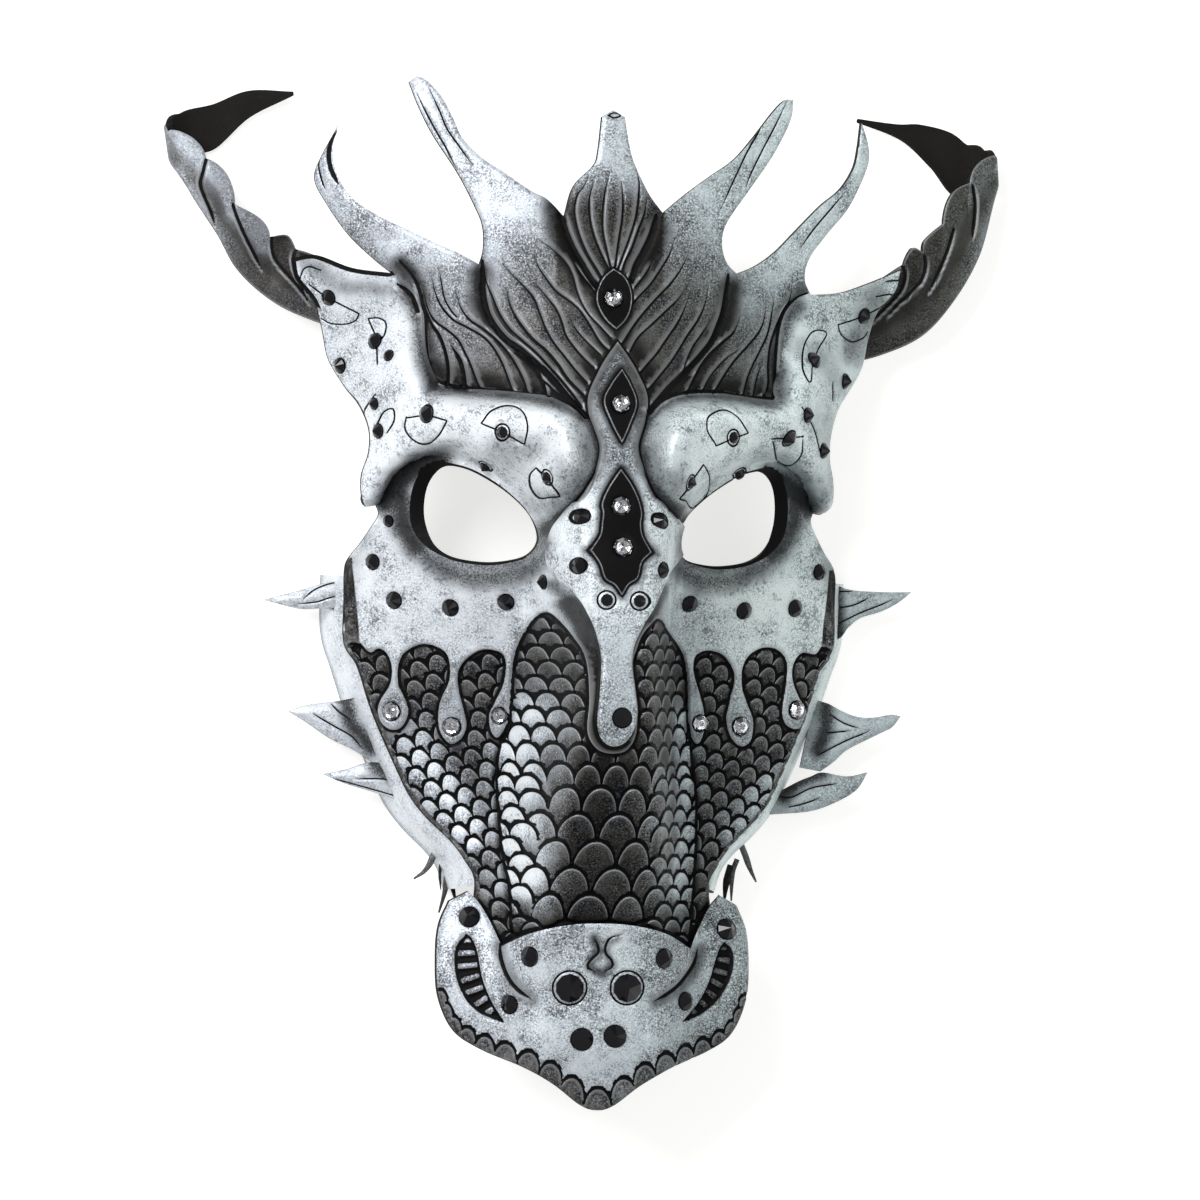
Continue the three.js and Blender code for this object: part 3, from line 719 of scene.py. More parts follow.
DRIPS_RIGHT = [
    (636, 651), (643, 634), (656, 619), (667, 632), (679, 649), (685, 668), (687, 690), (687, 712),
    (691, 738), (698, 744), (704, 731), (704, 712), (700, 694), (694, 673), (695, 657), (706, 651),
    (721, 655), (731, 668), (733, 681), (728, 703), (725, 720), (730, 738), (741, 747), (751, 740),
    (753, 720), (747, 703), (742, 686), (743, 666), (752, 653), (767, 648), (780, 653), (786, 666),
    (784, 690), (781, 712), (785, 725), (796, 730), (805, 723), (806, 710), (799, 697), (793, 681),
    (793, 666), (801, 654), (815, 655), (821, 648),
]
VALLEY_LEFT = [(505, 640), (511, 720), (501, 744), (497, 768), (498, 798), (501, 831), (503, 853),
               (510, 885), (512, 930)]
VALLEY_RIGHT = [(690, 640), (687, 712), (691, 755), (695, 788), (696, 820), (695, 853), (693, 885),
                (690, 930)]
# Half moons and loops pressed into the brows and temples, as thin lines
TOOLING = [
    [(484, 425), (493, 415), (508, 410), (522, 414), (530, 428), (527, 446)],
    [(484, 425), (505, 434), (527, 446)],
    [(410, 419), (430, 417), (450, 422)],
    [(410, 419), (409, 430), (416, 440), (426, 443), (439, 437), (450, 422)],
    [(539, 468), (533, 475), (534, 487), (542, 497), (552, 497), (561, 495)],
    [(539, 468), (550, 479), (561, 495)],
    [(379, 428), (387, 413), (397, 410), (398, 422), (391, 434)],
    [(378, 397), (368, 412), (363, 428)],
    [(713, 447), (704, 432), (706, 421), (720, 414), (733, 419), (745, 434)],
    [(713, 447), (729, 440), (745, 434)],
    [(769, 438), (798, 437)],
    [(770, 440), (775, 456), (788, 463), (798, 456), (799, 440)],
    [(701, 465), (707, 477), (706, 491), (698, 503), (688, 507), (678, 498)],
    [(701, 465), (690, 480), (678, 498)],
    [(800, 410), (811, 430), (817, 452)],
    [(302, 277), (305, 270), (312, 267), (321, 270)],
    [(312, 285), (331, 298), (362, 314)],
    [(362, 314), (359, 321), (349, 325), (333, 324), (323, 319)],
    [(371, 319), (378, 336), (380, 347), (381, 366)],
    [(371, 319), (382, 319), (389, 325), (388, 336), (384, 342)],
    [(836, 324), (861, 315), (883, 304)],
    [(836, 324), (839, 334), (849, 341), (861, 337), (866, 331)],
    [(809, 369), (815, 351), (824, 334), (812, 332), (804, 343), (801, 357), (802, 374), (807, 384),
     (809, 369)],
    [(886, 280), (901, 279)],
    [(876, 295), (889, 293), (895, 296)],
    [(830, 384), (830, 400)],
    [(607, 119), (614, 116), (621, 119), (614, 122), (607, 119)],
]
# Muzzle plate
CRESCENT_LEFT = [
    (466, 931), (472, 935), (477, 946), (480, 960), (483, 976), (489, 992), (496, 1006),
    (505, 1020), (490, 1016), (477, 1009), (466, 998), (458, 982), (454, 963), (456, 944),
]
CRESCENT_RIGHT = [
    (725, 940), (732, 946), (735, 960), (731, 978), (722, 995), (709, 1008), (696, 1016),
    (682, 1020), (691, 1010), (700, 998), (709, 980), (715, 960), (720, 946),
]
SPINE_LEFT = [(466, 931), (467, 950), (470, 972), (478, 992), (490, 1009), (505, 1021)]
SPINE_RIGHT = [(726, 939), (726, 957), (721, 978), (712, 995), (699, 1009), (682, 1021)]
CRESCENT_RIBS = 8
CRESCENT_TONES = (0.6, 0.36)  # left and right
STRUT_CUTS = [
    [1, [(500, 941), (502, 956), (508, 973), (518, 986), (533, 997)]],
    [-1, [(697, 948), (694, 960), (686, 973), (674, 986), (653, 999)]],
]
# Airbrushing and painted shade round the nostril curls and along the struts, as [strength, radius,
# points]
MUZZLE_SMOKE_AND_SHADE = [
    [0.75, 1.8, [(594, 936), (600, 948), (592, 957), (590, 964), (602, 971), (612, 962)]],
    [0.6, 1.6, [(612, 962), (606, 950), (608, 940), (618, 935)]],
    [0.6, 2.6, [(498, 944), (504, 962), (514, 982), (532, 997)]],
    [0.6, 2.6, [(700, 948), (694, 968), (680, 986), (655, 999)]],
]
CURL_CUTS = [
    [(594, 934), (598, 942), (599, 950), (592, 957), (588, 964), (594, 968)],
    [(621, 933), (612, 935), (607, 941), (606, 950), (612, 957), (613, 964), (607, 968)],
]
# Dark strips down the sides of the cheeks
GRAIN_LEFT = [(344, 558), (353, 558), (355, 576), (359, 613), (361, 644), (361, 652), (348, 648),
              (345, 627), (344, 601), (343, 576)]
GRAIN_RIGHT = [(836, 569), (828, 571), (826, 595), (822, 626), (821, 646), (822, 652), (836, 650),
               (839, 626), (837, 605), (836, 581)]
# Airbrushing and painted shade under the brows, in the sockets, beside the nose and along borders,
# as [strength, radius, points]
SMOKE_AND_SHADE = [
    [0.7, 2.2, [(556, 584), (574, 604), (586, 624), (594, 640)]],
    [1.3, 3.2, [(574, 604), (587, 624), (593, 650), (594, 690), (593, 716)]],
    [0.8, 3.0, [(660, 590), (650, 612), (641, 636), (641, 660)]],
    [1.1, 4.2, [(604, 450), (598, 474), (586, 494), (570, 514), (556, 530)]],
    [1.1, 4.2, [(638, 450), (642, 476), (656, 500), (674, 518), (686, 532)]],
    [0.5, 8.0, [(590, 410), (592, 440), (580, 470), (560, 500)]],
    [0.5, 7.0, [(648, 410), (650, 440), (658, 470), (672, 500)]],
    [0.9, 3.4, [(584, 392), (590, 425), (600, 455)]],
    [0.9, 3.4, [(650, 392), (646, 425), (639, 455)]],
    [1.1, 4.6, [(440, 460), (418, 466), (402, 480), (394, 494), (388, 502)]],
    [1.0, 4.4, [(398, 490), (404, 508), (408, 526), (420, 546)]],
    [1.1, 4.6, [(766, 480), (782, 484), (794, 494), (806, 508)]],
    [0.9, 4.2, [(794, 500), (792, 520), (784, 540), (770, 556)]],
    [0.7, 4.4, [(420, 548), (446, 568), (472, 577), (500, 577), (530, 570), (552, 554)]],
    [0.7, 4.4, [(672, 566), (700, 582), (730, 579), (756, 568), (776, 552)]],
    [0.8, 2.8, [(430, 388), (470, 395), (520, 400), (560, 408), (584, 424)]],
    [0.8, 2.8, [(770, 405), (735, 401), (700, 397), (670, 402), (648, 420)]],
    [0.35, 4.0, [(366, 530), (352, 565), (346, 600)]],
    [0.45, 4.0, [(824, 535), (830, 570), (834, 600)]],
    [0.9, 3.6, [(408, 292), (418, 306), (423, 330), (426, 362), (432, 384)]],
    [0.8, 4.0, [(794, 306), (784, 318), (779, 340), (776, 370), (776, 396)]],
    [0.45, 6.0, [(508, 448), (520, 452), (534, 450)]],
    [0.35, 7.0, [(820, 420), (830, 450), (826, 490)]],
    [0.5, 6.5, [(872, 300), (862, 330), (852, 350)]],
    [0.35, 6.0, [(800, 350), (822, 362), (838, 385)]],
    [0.45, 3.0, [(304, 262), (322, 270), (345, 288), (398, 292)]],
]
# Airbrushing and painted shade where the crown's panels meet and along its border with the brows,
# as [strength, radius, points]
CROWN_SMOKE_AND_SHADE = [
    [1.0, 4.5, [(556, 212), (562, 236), (572, 258), (588, 280)]],
    [0.95, 4.0, [(657, 232), (648, 252), (637, 274)]],
    [1.0, 3.8, [(482, 276), (482, 300), (492, 326), (514, 350), (544, 374), (572, 404)]],
    [0.95, 3.8, [(728, 290), (724, 318), (706, 352), (680, 382), (652, 410)]],
    [0.8, 4.0, [(612, 336), (596, 362), (584, 392)]],
    [0.8, 4.0, [(622, 336), (640, 366), (652, 392)]],
    [0.8, 3.4, [(430, 366), (470, 382), (520, 388), (570, 402)]],
    [0.75, 3.4, [(650, 404), (690, 388), (730, 390), (766, 392)]],
    [0.9, 3.0, [(402, 266), (412, 276), (420, 296), (426, 330)]],
    [0.6, 3.0, [(800, 292), (786, 306), (778, 330), (775, 370)]],
]
# Painted highlights on the scales, where light falls on the snout's flanks and the cheeks, as
# [strength, radius, points]
PAINTED_HIGHLIGHTS = [
    [0.85, 7.0, [(528, 716), (514, 760), (514, 800), (520, 850), (524, 880)]],
    [0.3, 5.0, [(556, 690), (556, 760), (552, 800), (544, 850)]],
    [0.7, 7.5, [(415, 750), (450, 800), (470, 830)]],
    [0.55, 5.0, [(680, 720), (684, 790), (682, 850), (676, 890)]],
    [0.25, 6.0, [(664, 780), (660, 840), (664, 890)]],
    [0.4, 5.5, [(775, 780), (735, 830)]],
]

# Scales
SCALE_WIDTH = [[-97, 13.2], [-72, 13.0], [-62, 12.4], [-54, 10], [-46, 7.8], [-30, 6.2], [-8, 5.4]]
SMALL_TO = -50.0  # below this height the flanks have small scales of their own
SMALL_FROM = 1.8  # from this many columns out
FLANK_PITCH = 4.7
FLANK_WIDTH = (5.1, 6.2)  # left and right
SNOUT_SHIFT = -4.2  # the middle column of scales stands off the centre line by this
SCALE_FIRST = -104.5
SCALE_LAST = 2.0
SCALE_SHARE = 0.47  # half width of a scale as a share of its column
CHEEK_SCALE = 5.7
CHEEK_PITCH = 5.0
CHEEK_TILT = math.radians(21)
CHEEK_ANCHOR = (44.0, -5.0)
RIM_WIDEST = 9.2  # the scale on the muzzle's tip
RIM_SHRINK = 0.085  # how much narrower they get with each millimetre from it
RIM_RUN = 62
SCALE_GROOVE = 0.95
SCALE_DEPTH = 0.8
# Mesh lines round a scale, as [millimetres past its border, share of the cut's width more]
SCALE_RINGS = ((-0.3, 0), (-0.03, 0), (0, 0.2), (0, 1.0))


def crescent(outward, half):
    """Width of the black cut over a scale, widest over its top."""
    return SCALE_GROOVE * (0.1 + 0.9 * outward ** 1.5) * clamp(half / 2.6, 0.8, 1.0)


def scale_pitch(y):
    return 1.7 + 0.49 * float(along(SCALE_WIDTH, y))


def scale_row(n, top, pitch, wanted):
    """One row of the snout's scales, at the columns that are wanted."""
    wide = float(along(SCALE_WIDTH, top))
    scales = []
    for k in range(-9, 10):
        q = k + (n % 2) / 2
        if not wanted(abs(q)):
            continue
        edge = FLANK_WIDTH[q > 0]
        middle = edge * q + (wide - edge) * 1.2 * math.tanh(q / 1.2)
        column = edge + (wide - edge) / math.cosh(q / 1.2) ** 2
        scales.append((middle + SNOUT_SHIFT, top - pitch, SCALE_SHARE * column, pitch, 0.0))
    return scales


def snout_scales():
    """The snout's scales as [x, y, half width, height, lean], the highest first."""
    scales = []
    for large in (True, False):
        n, y = 0, SCALE_FIRST
        while y < (SCALE_LAST if large else SMALL_TO):
            pitch = scale_pitch(y) if large else FLANK_PITCH
            scales += scale_row(n, y, pitch, lambda q: y > SMALL_TO or (q < SMALL_FROM) == large)
            n, y = n + 1, y + pitch
    return sorted(scales, key=lambda scale: -scale[1] - scale[3])


def cheek_scales(side):
    """Scales of one cheek, in rows that run down towards its edge."""
    lean = side * CHEEK_TILT
    up = np.array([math.sin(lean), math.cos(lean)])
    across = np.array([math.cos(lean), -math.sin(lean)])
    anchor = np.array([side * CHEEK_ANCHOR[0], CHEEK_ANCHOR[1]])
    scales = []
    for n in range(-6, 30):
        for k in range(-14, 15):
            spot = anchor - up * CHEEK_PITCH * n + across * CHEEK_SCALE * (k + (n % 2) / 2)
            if 20 < side * spot[0] < 80 and -112 < spot[1] < 2:
                scales.append((*spot, SCALE_SHARE * CHEEK_SCALE, CHEEK_PITCH, lean))
    return scales


def scale_tints(seen, scales, seed):
    """A little lighter or darker for each scale, at every point."""
    return np.random.default_rng(seed).uniform(-0.06, 0.06, len(scales) + 1)[seen.owner]


def scale_cut(ink_at, wide, inked):
    """Depth and ink of the cut over a scale, deepest close to the scale."""
    fall = np.where(ink_at < 0.2, ink_at / 0.2, clamp(1 - (ink_at - 0.2) / wide))
    return fall, clamp((inked - ink_at) / 0.3)


def lay_scales(x, y, scales):
    """Which scale shows at each point, how near its border is, and the ink around others."""
    owner = np.full(len(x), -1)
    ink_at = np.full(len(x), 9.0)
    ink_by = np.full(len(x), -1)
    border = np.full(len(x), 9.0)
    down = np.zeros(len(x))
    for i, (cx, cy, half, high, lean) in enumerate(scales):
        reach = max(half, high) * 1.5 + 2
        at = np.flatnonzero((np.abs(x - cx) < reach) & (y < cy + reach) & (y > cy - 1.6 * high - 2))
        across = (x[at] - cx) * math.cos(lean) - (y[at] - cy) * math.sin(lean)
        up = (x[at] - cx) * math.sin(lean) + (y[at] - cy) * math.cos(lean)
        radius = np.hypot(across / half, np.maximum(up, 0) / high)
        size = np.hypot(across, np.maximum(up, 0)) / np.maximum(radius, 1e-6)
        away = (radius - 1) * size
        outward = np.maximum(up, 0) / np.maximum(np.hypot(across, up), 1e-6)
        thick = crescent(outward, half)
        hit = (away <= 0) & (up > -1.5 * high)
        owner[at[hit]] = i
        ink_at[at[hit]] = 9.0
        ink_by[at[hit]] = -1
        border[at[hit]] = -away[hit]
        down[at[hit]] = 1 - clamp(up[hit] / high, -1, 1)
        miss = (away > 0) & (up > 0)
        closer = miss & (away / thick < ink_at[at])
        ink_at[at[closer]] = (away / thick)[closer]
        ink_by[at[closer]] = i
    return SimpleNamespace(owner=owner, ink_at=ink_at, ink_by=ink_by, border=border, down=down)


def scale_rails(scales, allowed):
    """Mesh lines along the visible arcs of the scales."""
    angles = np.radians(np.linspace(-84, 84, 15))
    rails = []
    for ring, (inward, wide) in enumerate(SCALE_RINGS):
        arcs = []
        for cx, cy, half, high, lean in scales:
            across, up = half * np.sin(angles), high * np.cos(angles)
            outward = np.cos(angles)
            thick = crescent(outward, half)
            size = np.hypot(across, up)
            grow = 1 + (inward + wide * thick) / size
            across, up = across * grow, up * grow
            arcs.append(np.column_stack([
                cx + across * math.cos(lean) + up * math.sin(lean),
                cy - across * math.sin(lean) + up * math.cos(lean)]))
        x, y = np.vstack(arcs).T
        seen = lay_scales(x, y, scales)
        number = np.repeat(np.arange(len(scales)), len(angles))
        kept = (seen.owner == number) if ring < 2 else (seen.ink_by == number)
        kept &= allowed(x, y)
        for i, arc in enumerate(arcs):
            shown = kept[i * len(angles):(i + 1) * len(angles)].astype(int)
            turns = np.flatnonzero(np.diff([0, *shown, 0]))
            rails += [arc[a:b] for a, b in zip(turns[::2], turns[1::2]) if b - a > 1]
    return rails


# Horns: [outer x, outer y, inner x, inner y, height over the rim] from the root to the tip
HORN_LEFT = [
    [-76, 79, -70, 88, 1], [-95.4, 86.9, -90.4, 103.5, -0.5], [-107.9, 97.2, -99, 107.5, -2],
    [-114.1, 107.5, -108, 115.5, -3], [-123, 120.9, -117, 129.5, -4.5],
    [-126.8, 128, -127.5, 137.5, -8], [-126.5, 130.5, -128.3, 140, -12.5],
    [-122, 131.5, -123, 144.5, -17], [-114.3, 133, -114.5, 146.8, -17.9],
    [-103.4, 143, -104, 151, -16.5], [-90.6, 149.8, -90.8, 151, -13],
]
HORN_RIGHT = [
    [72, 71.5, 69, 86, 1], [87, 75, 85, 94.5, -0.5], [99.9, 81.2, 96, 104.5, -1.5],
    [109.6, 92.5, 101, 107.5, -2.5], [117, 106, 108.5, 120.5, -4], [120.5, 119, 115, 129, -6],
    [122.2, 126.5, 121.5, 135, -9.5], [121.5, 127, 120, 137, -14],
    [116, 124.5, 115.7, 138.8, -17.2], [110.9, 124, 109.5, 143, -18],
    [104.3, 132, 99.9, 145.1, -17.4], [95, 140, 93, 144.9, -15], [80.2, 145.2, 80.4, 146.4, -12],
]
HORN_ROOT = (0.12, 0.28)  # between these shares of its length a horn leaves the temple's back
TUCK_REACH = 8
HORN_LEAN = 0.1  # how far a scallop's lower end lies nearer the root, as a share of the strip
SILVER_LEFT = (0.1, 0.2, 0.55, 0.62, 0.66, 0.55)
SILVER_RIGHT = (0.35, 0.2, 0.28, 0.34, 0.45, 0.6)
FAR_NOTCHES = (0.52, 0.6, 0.68)  # scallops that go on behind the bend
HORN_BEND = 0.5
SCALLOP_RISES = (2.6, 1.3)  # before and behind the bend
CUTS_TO = 0.53
FAR_AWAY = 999  # a place where no cut reaches
HORN_CUTS_LEFT = [
    [(208, 161), (205, 173), (202, 185), (205, 196), (212, 213), (217, 229)],
    [(234, 206), (237, 216), (244, 233), (253, 251), (264, 271)],
    [(273, 235), (273, 249), (277, 261), (288, 275), (301, 290), (311, 305)],
    [(297, 250), (294, 259), (296, 271), (302, 284), (312, 298)],
]
HORN_CUTS_RIGHT = [
    [(976, 185), (978, 202), (977, 220), (974, 238)],
    [(956, 228), (950, 248), (940, 272), (930, 292)],
    [(926, 255), (927, 266), (923, 280), (912, 293), (900, 303), (888, 317)],
    [(903, 262), (907, 274), (903, 289), (892, 302), (880, 314), (866, 328)],
]
# Jaws: the cheek's edge, and [reach over it, share of its height] across the band
JAW_RUN = [
    [35.5, -86], [37.9, -79], [42.2, -73], [49.4, -66], [54.4, -59.5], [58.3, -51.5],
    [63.4, -40], [66.8, -32], [70.5, -21], [73.5, -12], [74.2, -3], [74, 6],
]
JAW_SECTION = [[-7, 1], [-1, 1], [1.6, 0.9], [3.6, 0.6], [5, 0.25], [5.4, 0]]
# Spikes: heights at root and tip, outline, carved lines and where painted shade lies on the base,
# behind the band
LEAVES_RIGHT = [
    [(13.5, 11), [(824, 566), (829, 572), (837, 584), (853, 590), (885, 592), (914, 592),
                  (900, 603), (882, 612), (862, 618), (849, 628), (841, 638), (824, 645)],
     [[(834, 591), (853, 591)], [(834, 608), (853, 605), (869, 598)],
      [(837, 624), (860, 613), (878, 606), (893, 600)]], [(834, 585), (838, 635)]],
    [(15, 12), [(815, 700), (829, 704), (842, 711), (858, 717), (876, 718), (894, 715),
                (903, 717), (894, 728), (882, 734), (849, 750), (835, 762), (821, 772),
                (800, 768)],
     [[(831, 715), (844, 723), (858, 728)], [(827, 733), (849, 731)],
      [(818, 755), (846, 741), (869, 732)]], [(826, 706), (826, 730), (818, 750)]],
    [(17, 13), [(797, 783), (812, 777), (824, 773), (849, 777), (870, 773), (858, 791),
                (835, 804), (810, 812), (771, 815), (765, 800)],
     [[(779, 797), (792, 797), (812, 788), (837, 784)], [(790, 807), (803, 804), (818, 799)]],
     [(783, 797), (796, 783), (821, 772)]],
]
LEAVES_LEFT = [
    [(13.5, 11), [(362, 574), (344, 579), (322, 584), (302, 590), (265, 600), (302, 609),
                  (330, 609), (345, 622), (362, 632)],
     [[(344, 582), (330, 584), (315, 590), (304, 599)],
      [(345, 600), (338, 597), (330, 598), (318, 602), (301, 604)],
      [(346, 615), (339, 612), (331, 608)]], [(346, 580), (346, 625)]],
    [(15, 12), [(380, 768), (356, 751), (332, 739), (310, 724), (290, 711), (308, 705),
                (330, 702), (344, 700), (362, 696)],
     [[(332, 704), (340, 712), (349, 718)], [(315, 714), (335, 726), (352, 736), (362, 748)]],
     [(346, 700), (350, 722), (370, 748)]],
    [(17, 13), [(325, 774), (348, 769), (374, 762), (398, 770), (420, 786), (420, 800),
                (399, 799), (371, 791), (345, 783)],
     [[(409, 789), (395, 782), (381, 779), (357, 779)],
      [(413, 799), (399, 797), (371, 789), (332, 778)]], [(374, 764), (390, 774), (410, 788)]],
]
LEAF_THICK = 2.0
LEAF_TONES = (0.84, 0.72)  # left and right
# Torn strips under the jaws, as [points, width, tone]
CURL_LEVEL = 9.0
CURL_THICK = 1.2
CURLS_LEFT = [
    [[(440, 846), (434, 855), (430, 864), (424, 872), (414, 879)], 1.9, 0.45],
    [[(446, 858), (447, 875), (445, 892), (439, 913)], 1.8, 0.35],
    [[(441, 862), (440, 876), (441, 890)], 0.9, 0.2],
    [[(448, 868), (452, 885), (456, 902)], 1.8, 0.2],
]
CURLS_RIGHT = [
    [[(742, 846), (746, 856), (751, 870), (757, 883)], 1.8, 0.45],
    [[(738, 860), (733, 875), (732, 902)], 1.5, 0.4],
    [[(732, 866), (727, 884), (725, 902)], 2.2, 0.1],
]
# Stones, as [column, row] with the radius of a pressed ring round some
STUDS = [
    (331, 298, 0), (378, 343, 0), (392, 358, 0), (343, 366, 0), (382, 432, 0), (430, 416, 0),
    (505, 434, 2.3), (550, 478, 2.3), (488, 465, 2.3), (375, 562, 0), (396, 600, 0), (452, 607, 0),
    (507, 601, 0), (547, 582, 0), (583, 519, 0), (656, 523, 0), (583, 566, 0), (657, 570, 0),
    (606, 600, 2.6), (638, 601, 2.6), (688, 603, 0), (742, 610, 0), (793, 608, 0), (817, 572, 0),
    (687, 483, 2.3), (730, 439, 2.3), (786, 438, 0), (737, 473, 2.3), (804, 416, 0), (820, 451, 0),
    (862, 315, 0), (811, 362, 0), (842, 381, 0), (621, 716, 0), (530, 954, 0), (664, 956, 0),
    (570, 985, 5.0), (627, 985, 5.0), (510, 1002, 0), (685, 999, 0), (582, 1036, 0),
    (615, 1033, 0), (470, 915, 0), (726, 928, 0), (391, 521, 0), (378, 405, 0),
]
CRYSTALS = [
    (613, 302, 0), (620, 408, 0), (620, 508, 0), (622, 549, 0), (393, 711, 0), (453, 726, 0),
    (500, 715, 0), (699, 723, 0), (739, 726, 0), (795, 710, 0),
]
MUZZLE_ROW = 900  # stones under this row sit on the muzzle plate
STRIP_ROW = 490  # from here down the stones near the middle stand on the strip, which is flat
STRIP_HALF = 17
ON_STRIP = 0.45  # share of the face's slope that a stone on the strip keeps
STONE_RADIUS = 1.7
STONE_LIFT = 0.1
RING_GAPS = {2.3: 0.5, 2.6: 0.75, 5.0: 0.7}  # from a ring to the stud in it, by the ring's size


def seats(stones, node, count, grown):
    """Place, radius, ring and node of each stone; the one nearest a node replaces it."""
    made = []
    for column, row, ring in stones:
        on_hide = row < MUZZLE_ROW
        (x, y), = (on_face if on_hide else on_plate)([(column, row)])
        height = face if on_hide else plate_top
        slope = np.array(slopes_of(height, x, y, 1.5))
        if abs(x) < STRIP_HALF and row > STRIP_ROW:
            slope *= ON_STRIP
        made.append(SimpleNamespace(x=x, y=y, radius=STONE_RADIUS, ring=ring, on_hide=on_hide,
                                    node=None, slope=slope))
    for number in range(1, count + 1):
        name = f"{node}_{number:02d}"
        low, high = (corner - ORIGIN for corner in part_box(name))
        x, y = (low.x + high.x) / 2 / MM, (low.y + high.y) / 2 / MM
        free = [seat for seat in made if seat.node is None]
        nearest = min(free, key=lambda seat: math.hypot(seat.x - x, seat.y - y))
        nearest.radius = grown * max(high.x - low.x, high.y - low.y) / 2 / MM
        nearest.node = name
    for seat in made:
        if seat.ring:
            seat.radius = seat.ring - RING_GAPS[seat.ring]
    return made


STUD_SEATS = seats(STUDS, "stud", 43, 1.0)
CRYSTAL_SEATS = seats(CRYSTALS, "crystal", 10, 1.1)


def seats_on(on_hide):
    return [seat for seat in STUD_SEATS + CRYSTAL_SEATS if seat.on_hide == on_hide]


def ring_rails(on_hide):
    turns = np.radians(np.linspace(0, 360, 23))
    circle = np.column_stack([np.cos(turns), np.sin(turns)])
    rails = []
    for seat in seats_on(on_hide):
        flat = circle / np.hypot(1, circle @ seat.slope)[:, None]
        size = seat.ring or seat.radius
        rails += [flat * (size + off) + (seat.x, seat.y) for off in (-0.25, 0.1, 0.5)]
    return rails


def ring_studs(work, on_hide):
    """A dark line pressed round each stud, partly a painted shadow at its foot, and wider rings
    round some.
    """
    for seat in seats_on(on_hide):
        x, y = work.x - seat.x, work.y - seat.y
        away = np.sqrt(x * x + y * y + (x * seat.slope[0] + y * seat.slope[1]) ** 2)
        line = clamp(1.5 - np.abs(away - (seat.ring or seat.radius - 0.3) - 0.1) / 0.3)
        work.ink = np.maximum(work.ink, line)
        work.cut = np.maximum(work.cut, 0.4 * line)
        if seat.ring:
            work.ink = np.where(away < seat.ring - 0.4, 0.0, work.ink)
            work.lip = np.maximum(work.lip, 0.6 * clamp(2 * (seat.ring - 0.2 - away)))


# Loops and lines of the face on the mask itself
HIDE_LOOP = smooth_loop(
    [[0, -113], *CHEEK_SIDE, *CROWN_RIGHT, *CROWN_LEFT, *mirrored(CHEEK_SIDE)[::-1]], 0.9)
EYE_LOOPS = [smooth_loop(EYE, 0.9, 70), smooth_loop(mirrored(EYE), 0.9, 70)]
STRIP_LOOP = smooth_loop(on_face(STRIP), 0.8)
ALMOND_LOOP = smooth_loop(on_face(ALMOND), 0.6)
DIAMOND_LOOP = smooth_loop(on_face(DIAMOND), 0.6)
SHIELD_LOOP = smooth_loop(on_face(SHIELD), 0.6)
DRIP_LINE = smooth_line(on_face(DRIPS_LEFT + DRIP_NOSE + DRIPS_RIGHT), 0.7)
PLATE_LOOP = np.vstack([
    [[-120, -11], [-77, -14]], DRIP_LINE, [[76, -14], [120, -11], [120, 200], [-120, 200]],
])
BORDER_LEFT = smooth_line(on_face(LEFT_BORDER), 0.9)
BORDER_RIGHT = smooth_line(on_face(RIGHT_BORDER), 0.9)
CROWN_LOOP = np.vstack([
    [[-95, 200], [-95, 106], [-80, 104], [-66, 98]], on_face([(404, 287), (413, 298)]),
    BORDER_LEFT[8:], BORDER_RIGHT[::-1], [[70, 92], [75, 97], [90, 110], [95, 200]],
])
GRAIN_LOOPS = [smooth_loop(on_face(GRAIN_LEFT), 0.9), smooth_loop(on_face(GRAIN_RIGHT), 0.9)]
VALLEYS = [smooth_line(on_face(points), 0.9) for points in (VALLEY_LEFT, VALLEY_RIGHT)]
CUTS = (
    [groove(p, w, 0.75, 1) for w, p in LEFT_CUTS]
    + [groove(p, w, 0.75, -1) for w, p in RIGHT_CUTS]
    + [groove(p, w, 1.5, 1, fine=0.5) for w, p in LEFT_STEPS]
    + [groove(p, w, 1.5, -1, fine=0.5) for w, p in RIGHT_STEPS]
    + [groove(LEFT_BORDER, 1.1, 0.9, -1, fine=0.6), groove(RIGHT_BORDER, 1.1, 0.9, 1, fine=0.6)]
    + [groove(p, 0.55, 0.45, 1, lip=0.3, full=0.2) for p in SPIKE_CUTS]
    + [groove(p, 1.3, 0.4, 1, lip=0.2, full=0.3) for p in SPIKE_CURLS]
    + [groove(p, 0.5, 0.35, 1, lip=0.0, fine=0.8, full=0.8, step=0.7) for p in TOOLING]
)
SNOUT_SCALES = snout_scales()
CHEEK_SCALES = {side: cheek_scales(side) for side in (-1, 1)}


MUZZLE_LOOP = smooth_loop([*MUZZLE_SIDE, *mirrored(MUZZLE_SIDE)[::-1][1:-1]], 0.8, 38)
CRESCENT_LOOPS = [smooth_loop(on_plate(points), 0.7) for points in (CRESCENT_LEFT, CRESCENT_RIGHT)]
CRESCENT_SPINES = [on_plate(points) for points in (SPINE_LEFT, SPINE_RIGHT)]
MUZZLE_CUTS = (
    [groove(p, 1.2, 0.9, side, fine=0.4, full=0.05, where=on_plate) for side, p in STRUT_CUTS]
    + [groove(p, 0.8, 0.5, 1, lip=0.2, full=0.3, where=on_plate) for p in CURL_CUTS]
)


def valley(side, y):
    line = VALLEYS[0 if side < 0 else 1]
    return np.interp(y, line[::-1, 1], line[::-1, 0])


def scale_zone(x, y):
    """-1 and 1 on the cheeks and 0 on the snout."""
    outer = (x > valley(1, y) + 0.02).astype(int)
    return outer - (x < valley(-1, y) - 0.02)


def below_plate(x, y, margin=0.2):
    return depth_inside(PLATE_LOOP, x, y) < -margin


def eye_band(x, y):
    """Width of the black cut edge that shows round the eyes."""
    x = np.abs(x)
    return 0.4 + 0.4 * smooth(24, 36, x) + 2.2 * smooth(44, 53.5, x) * smooth(9, 22, y)


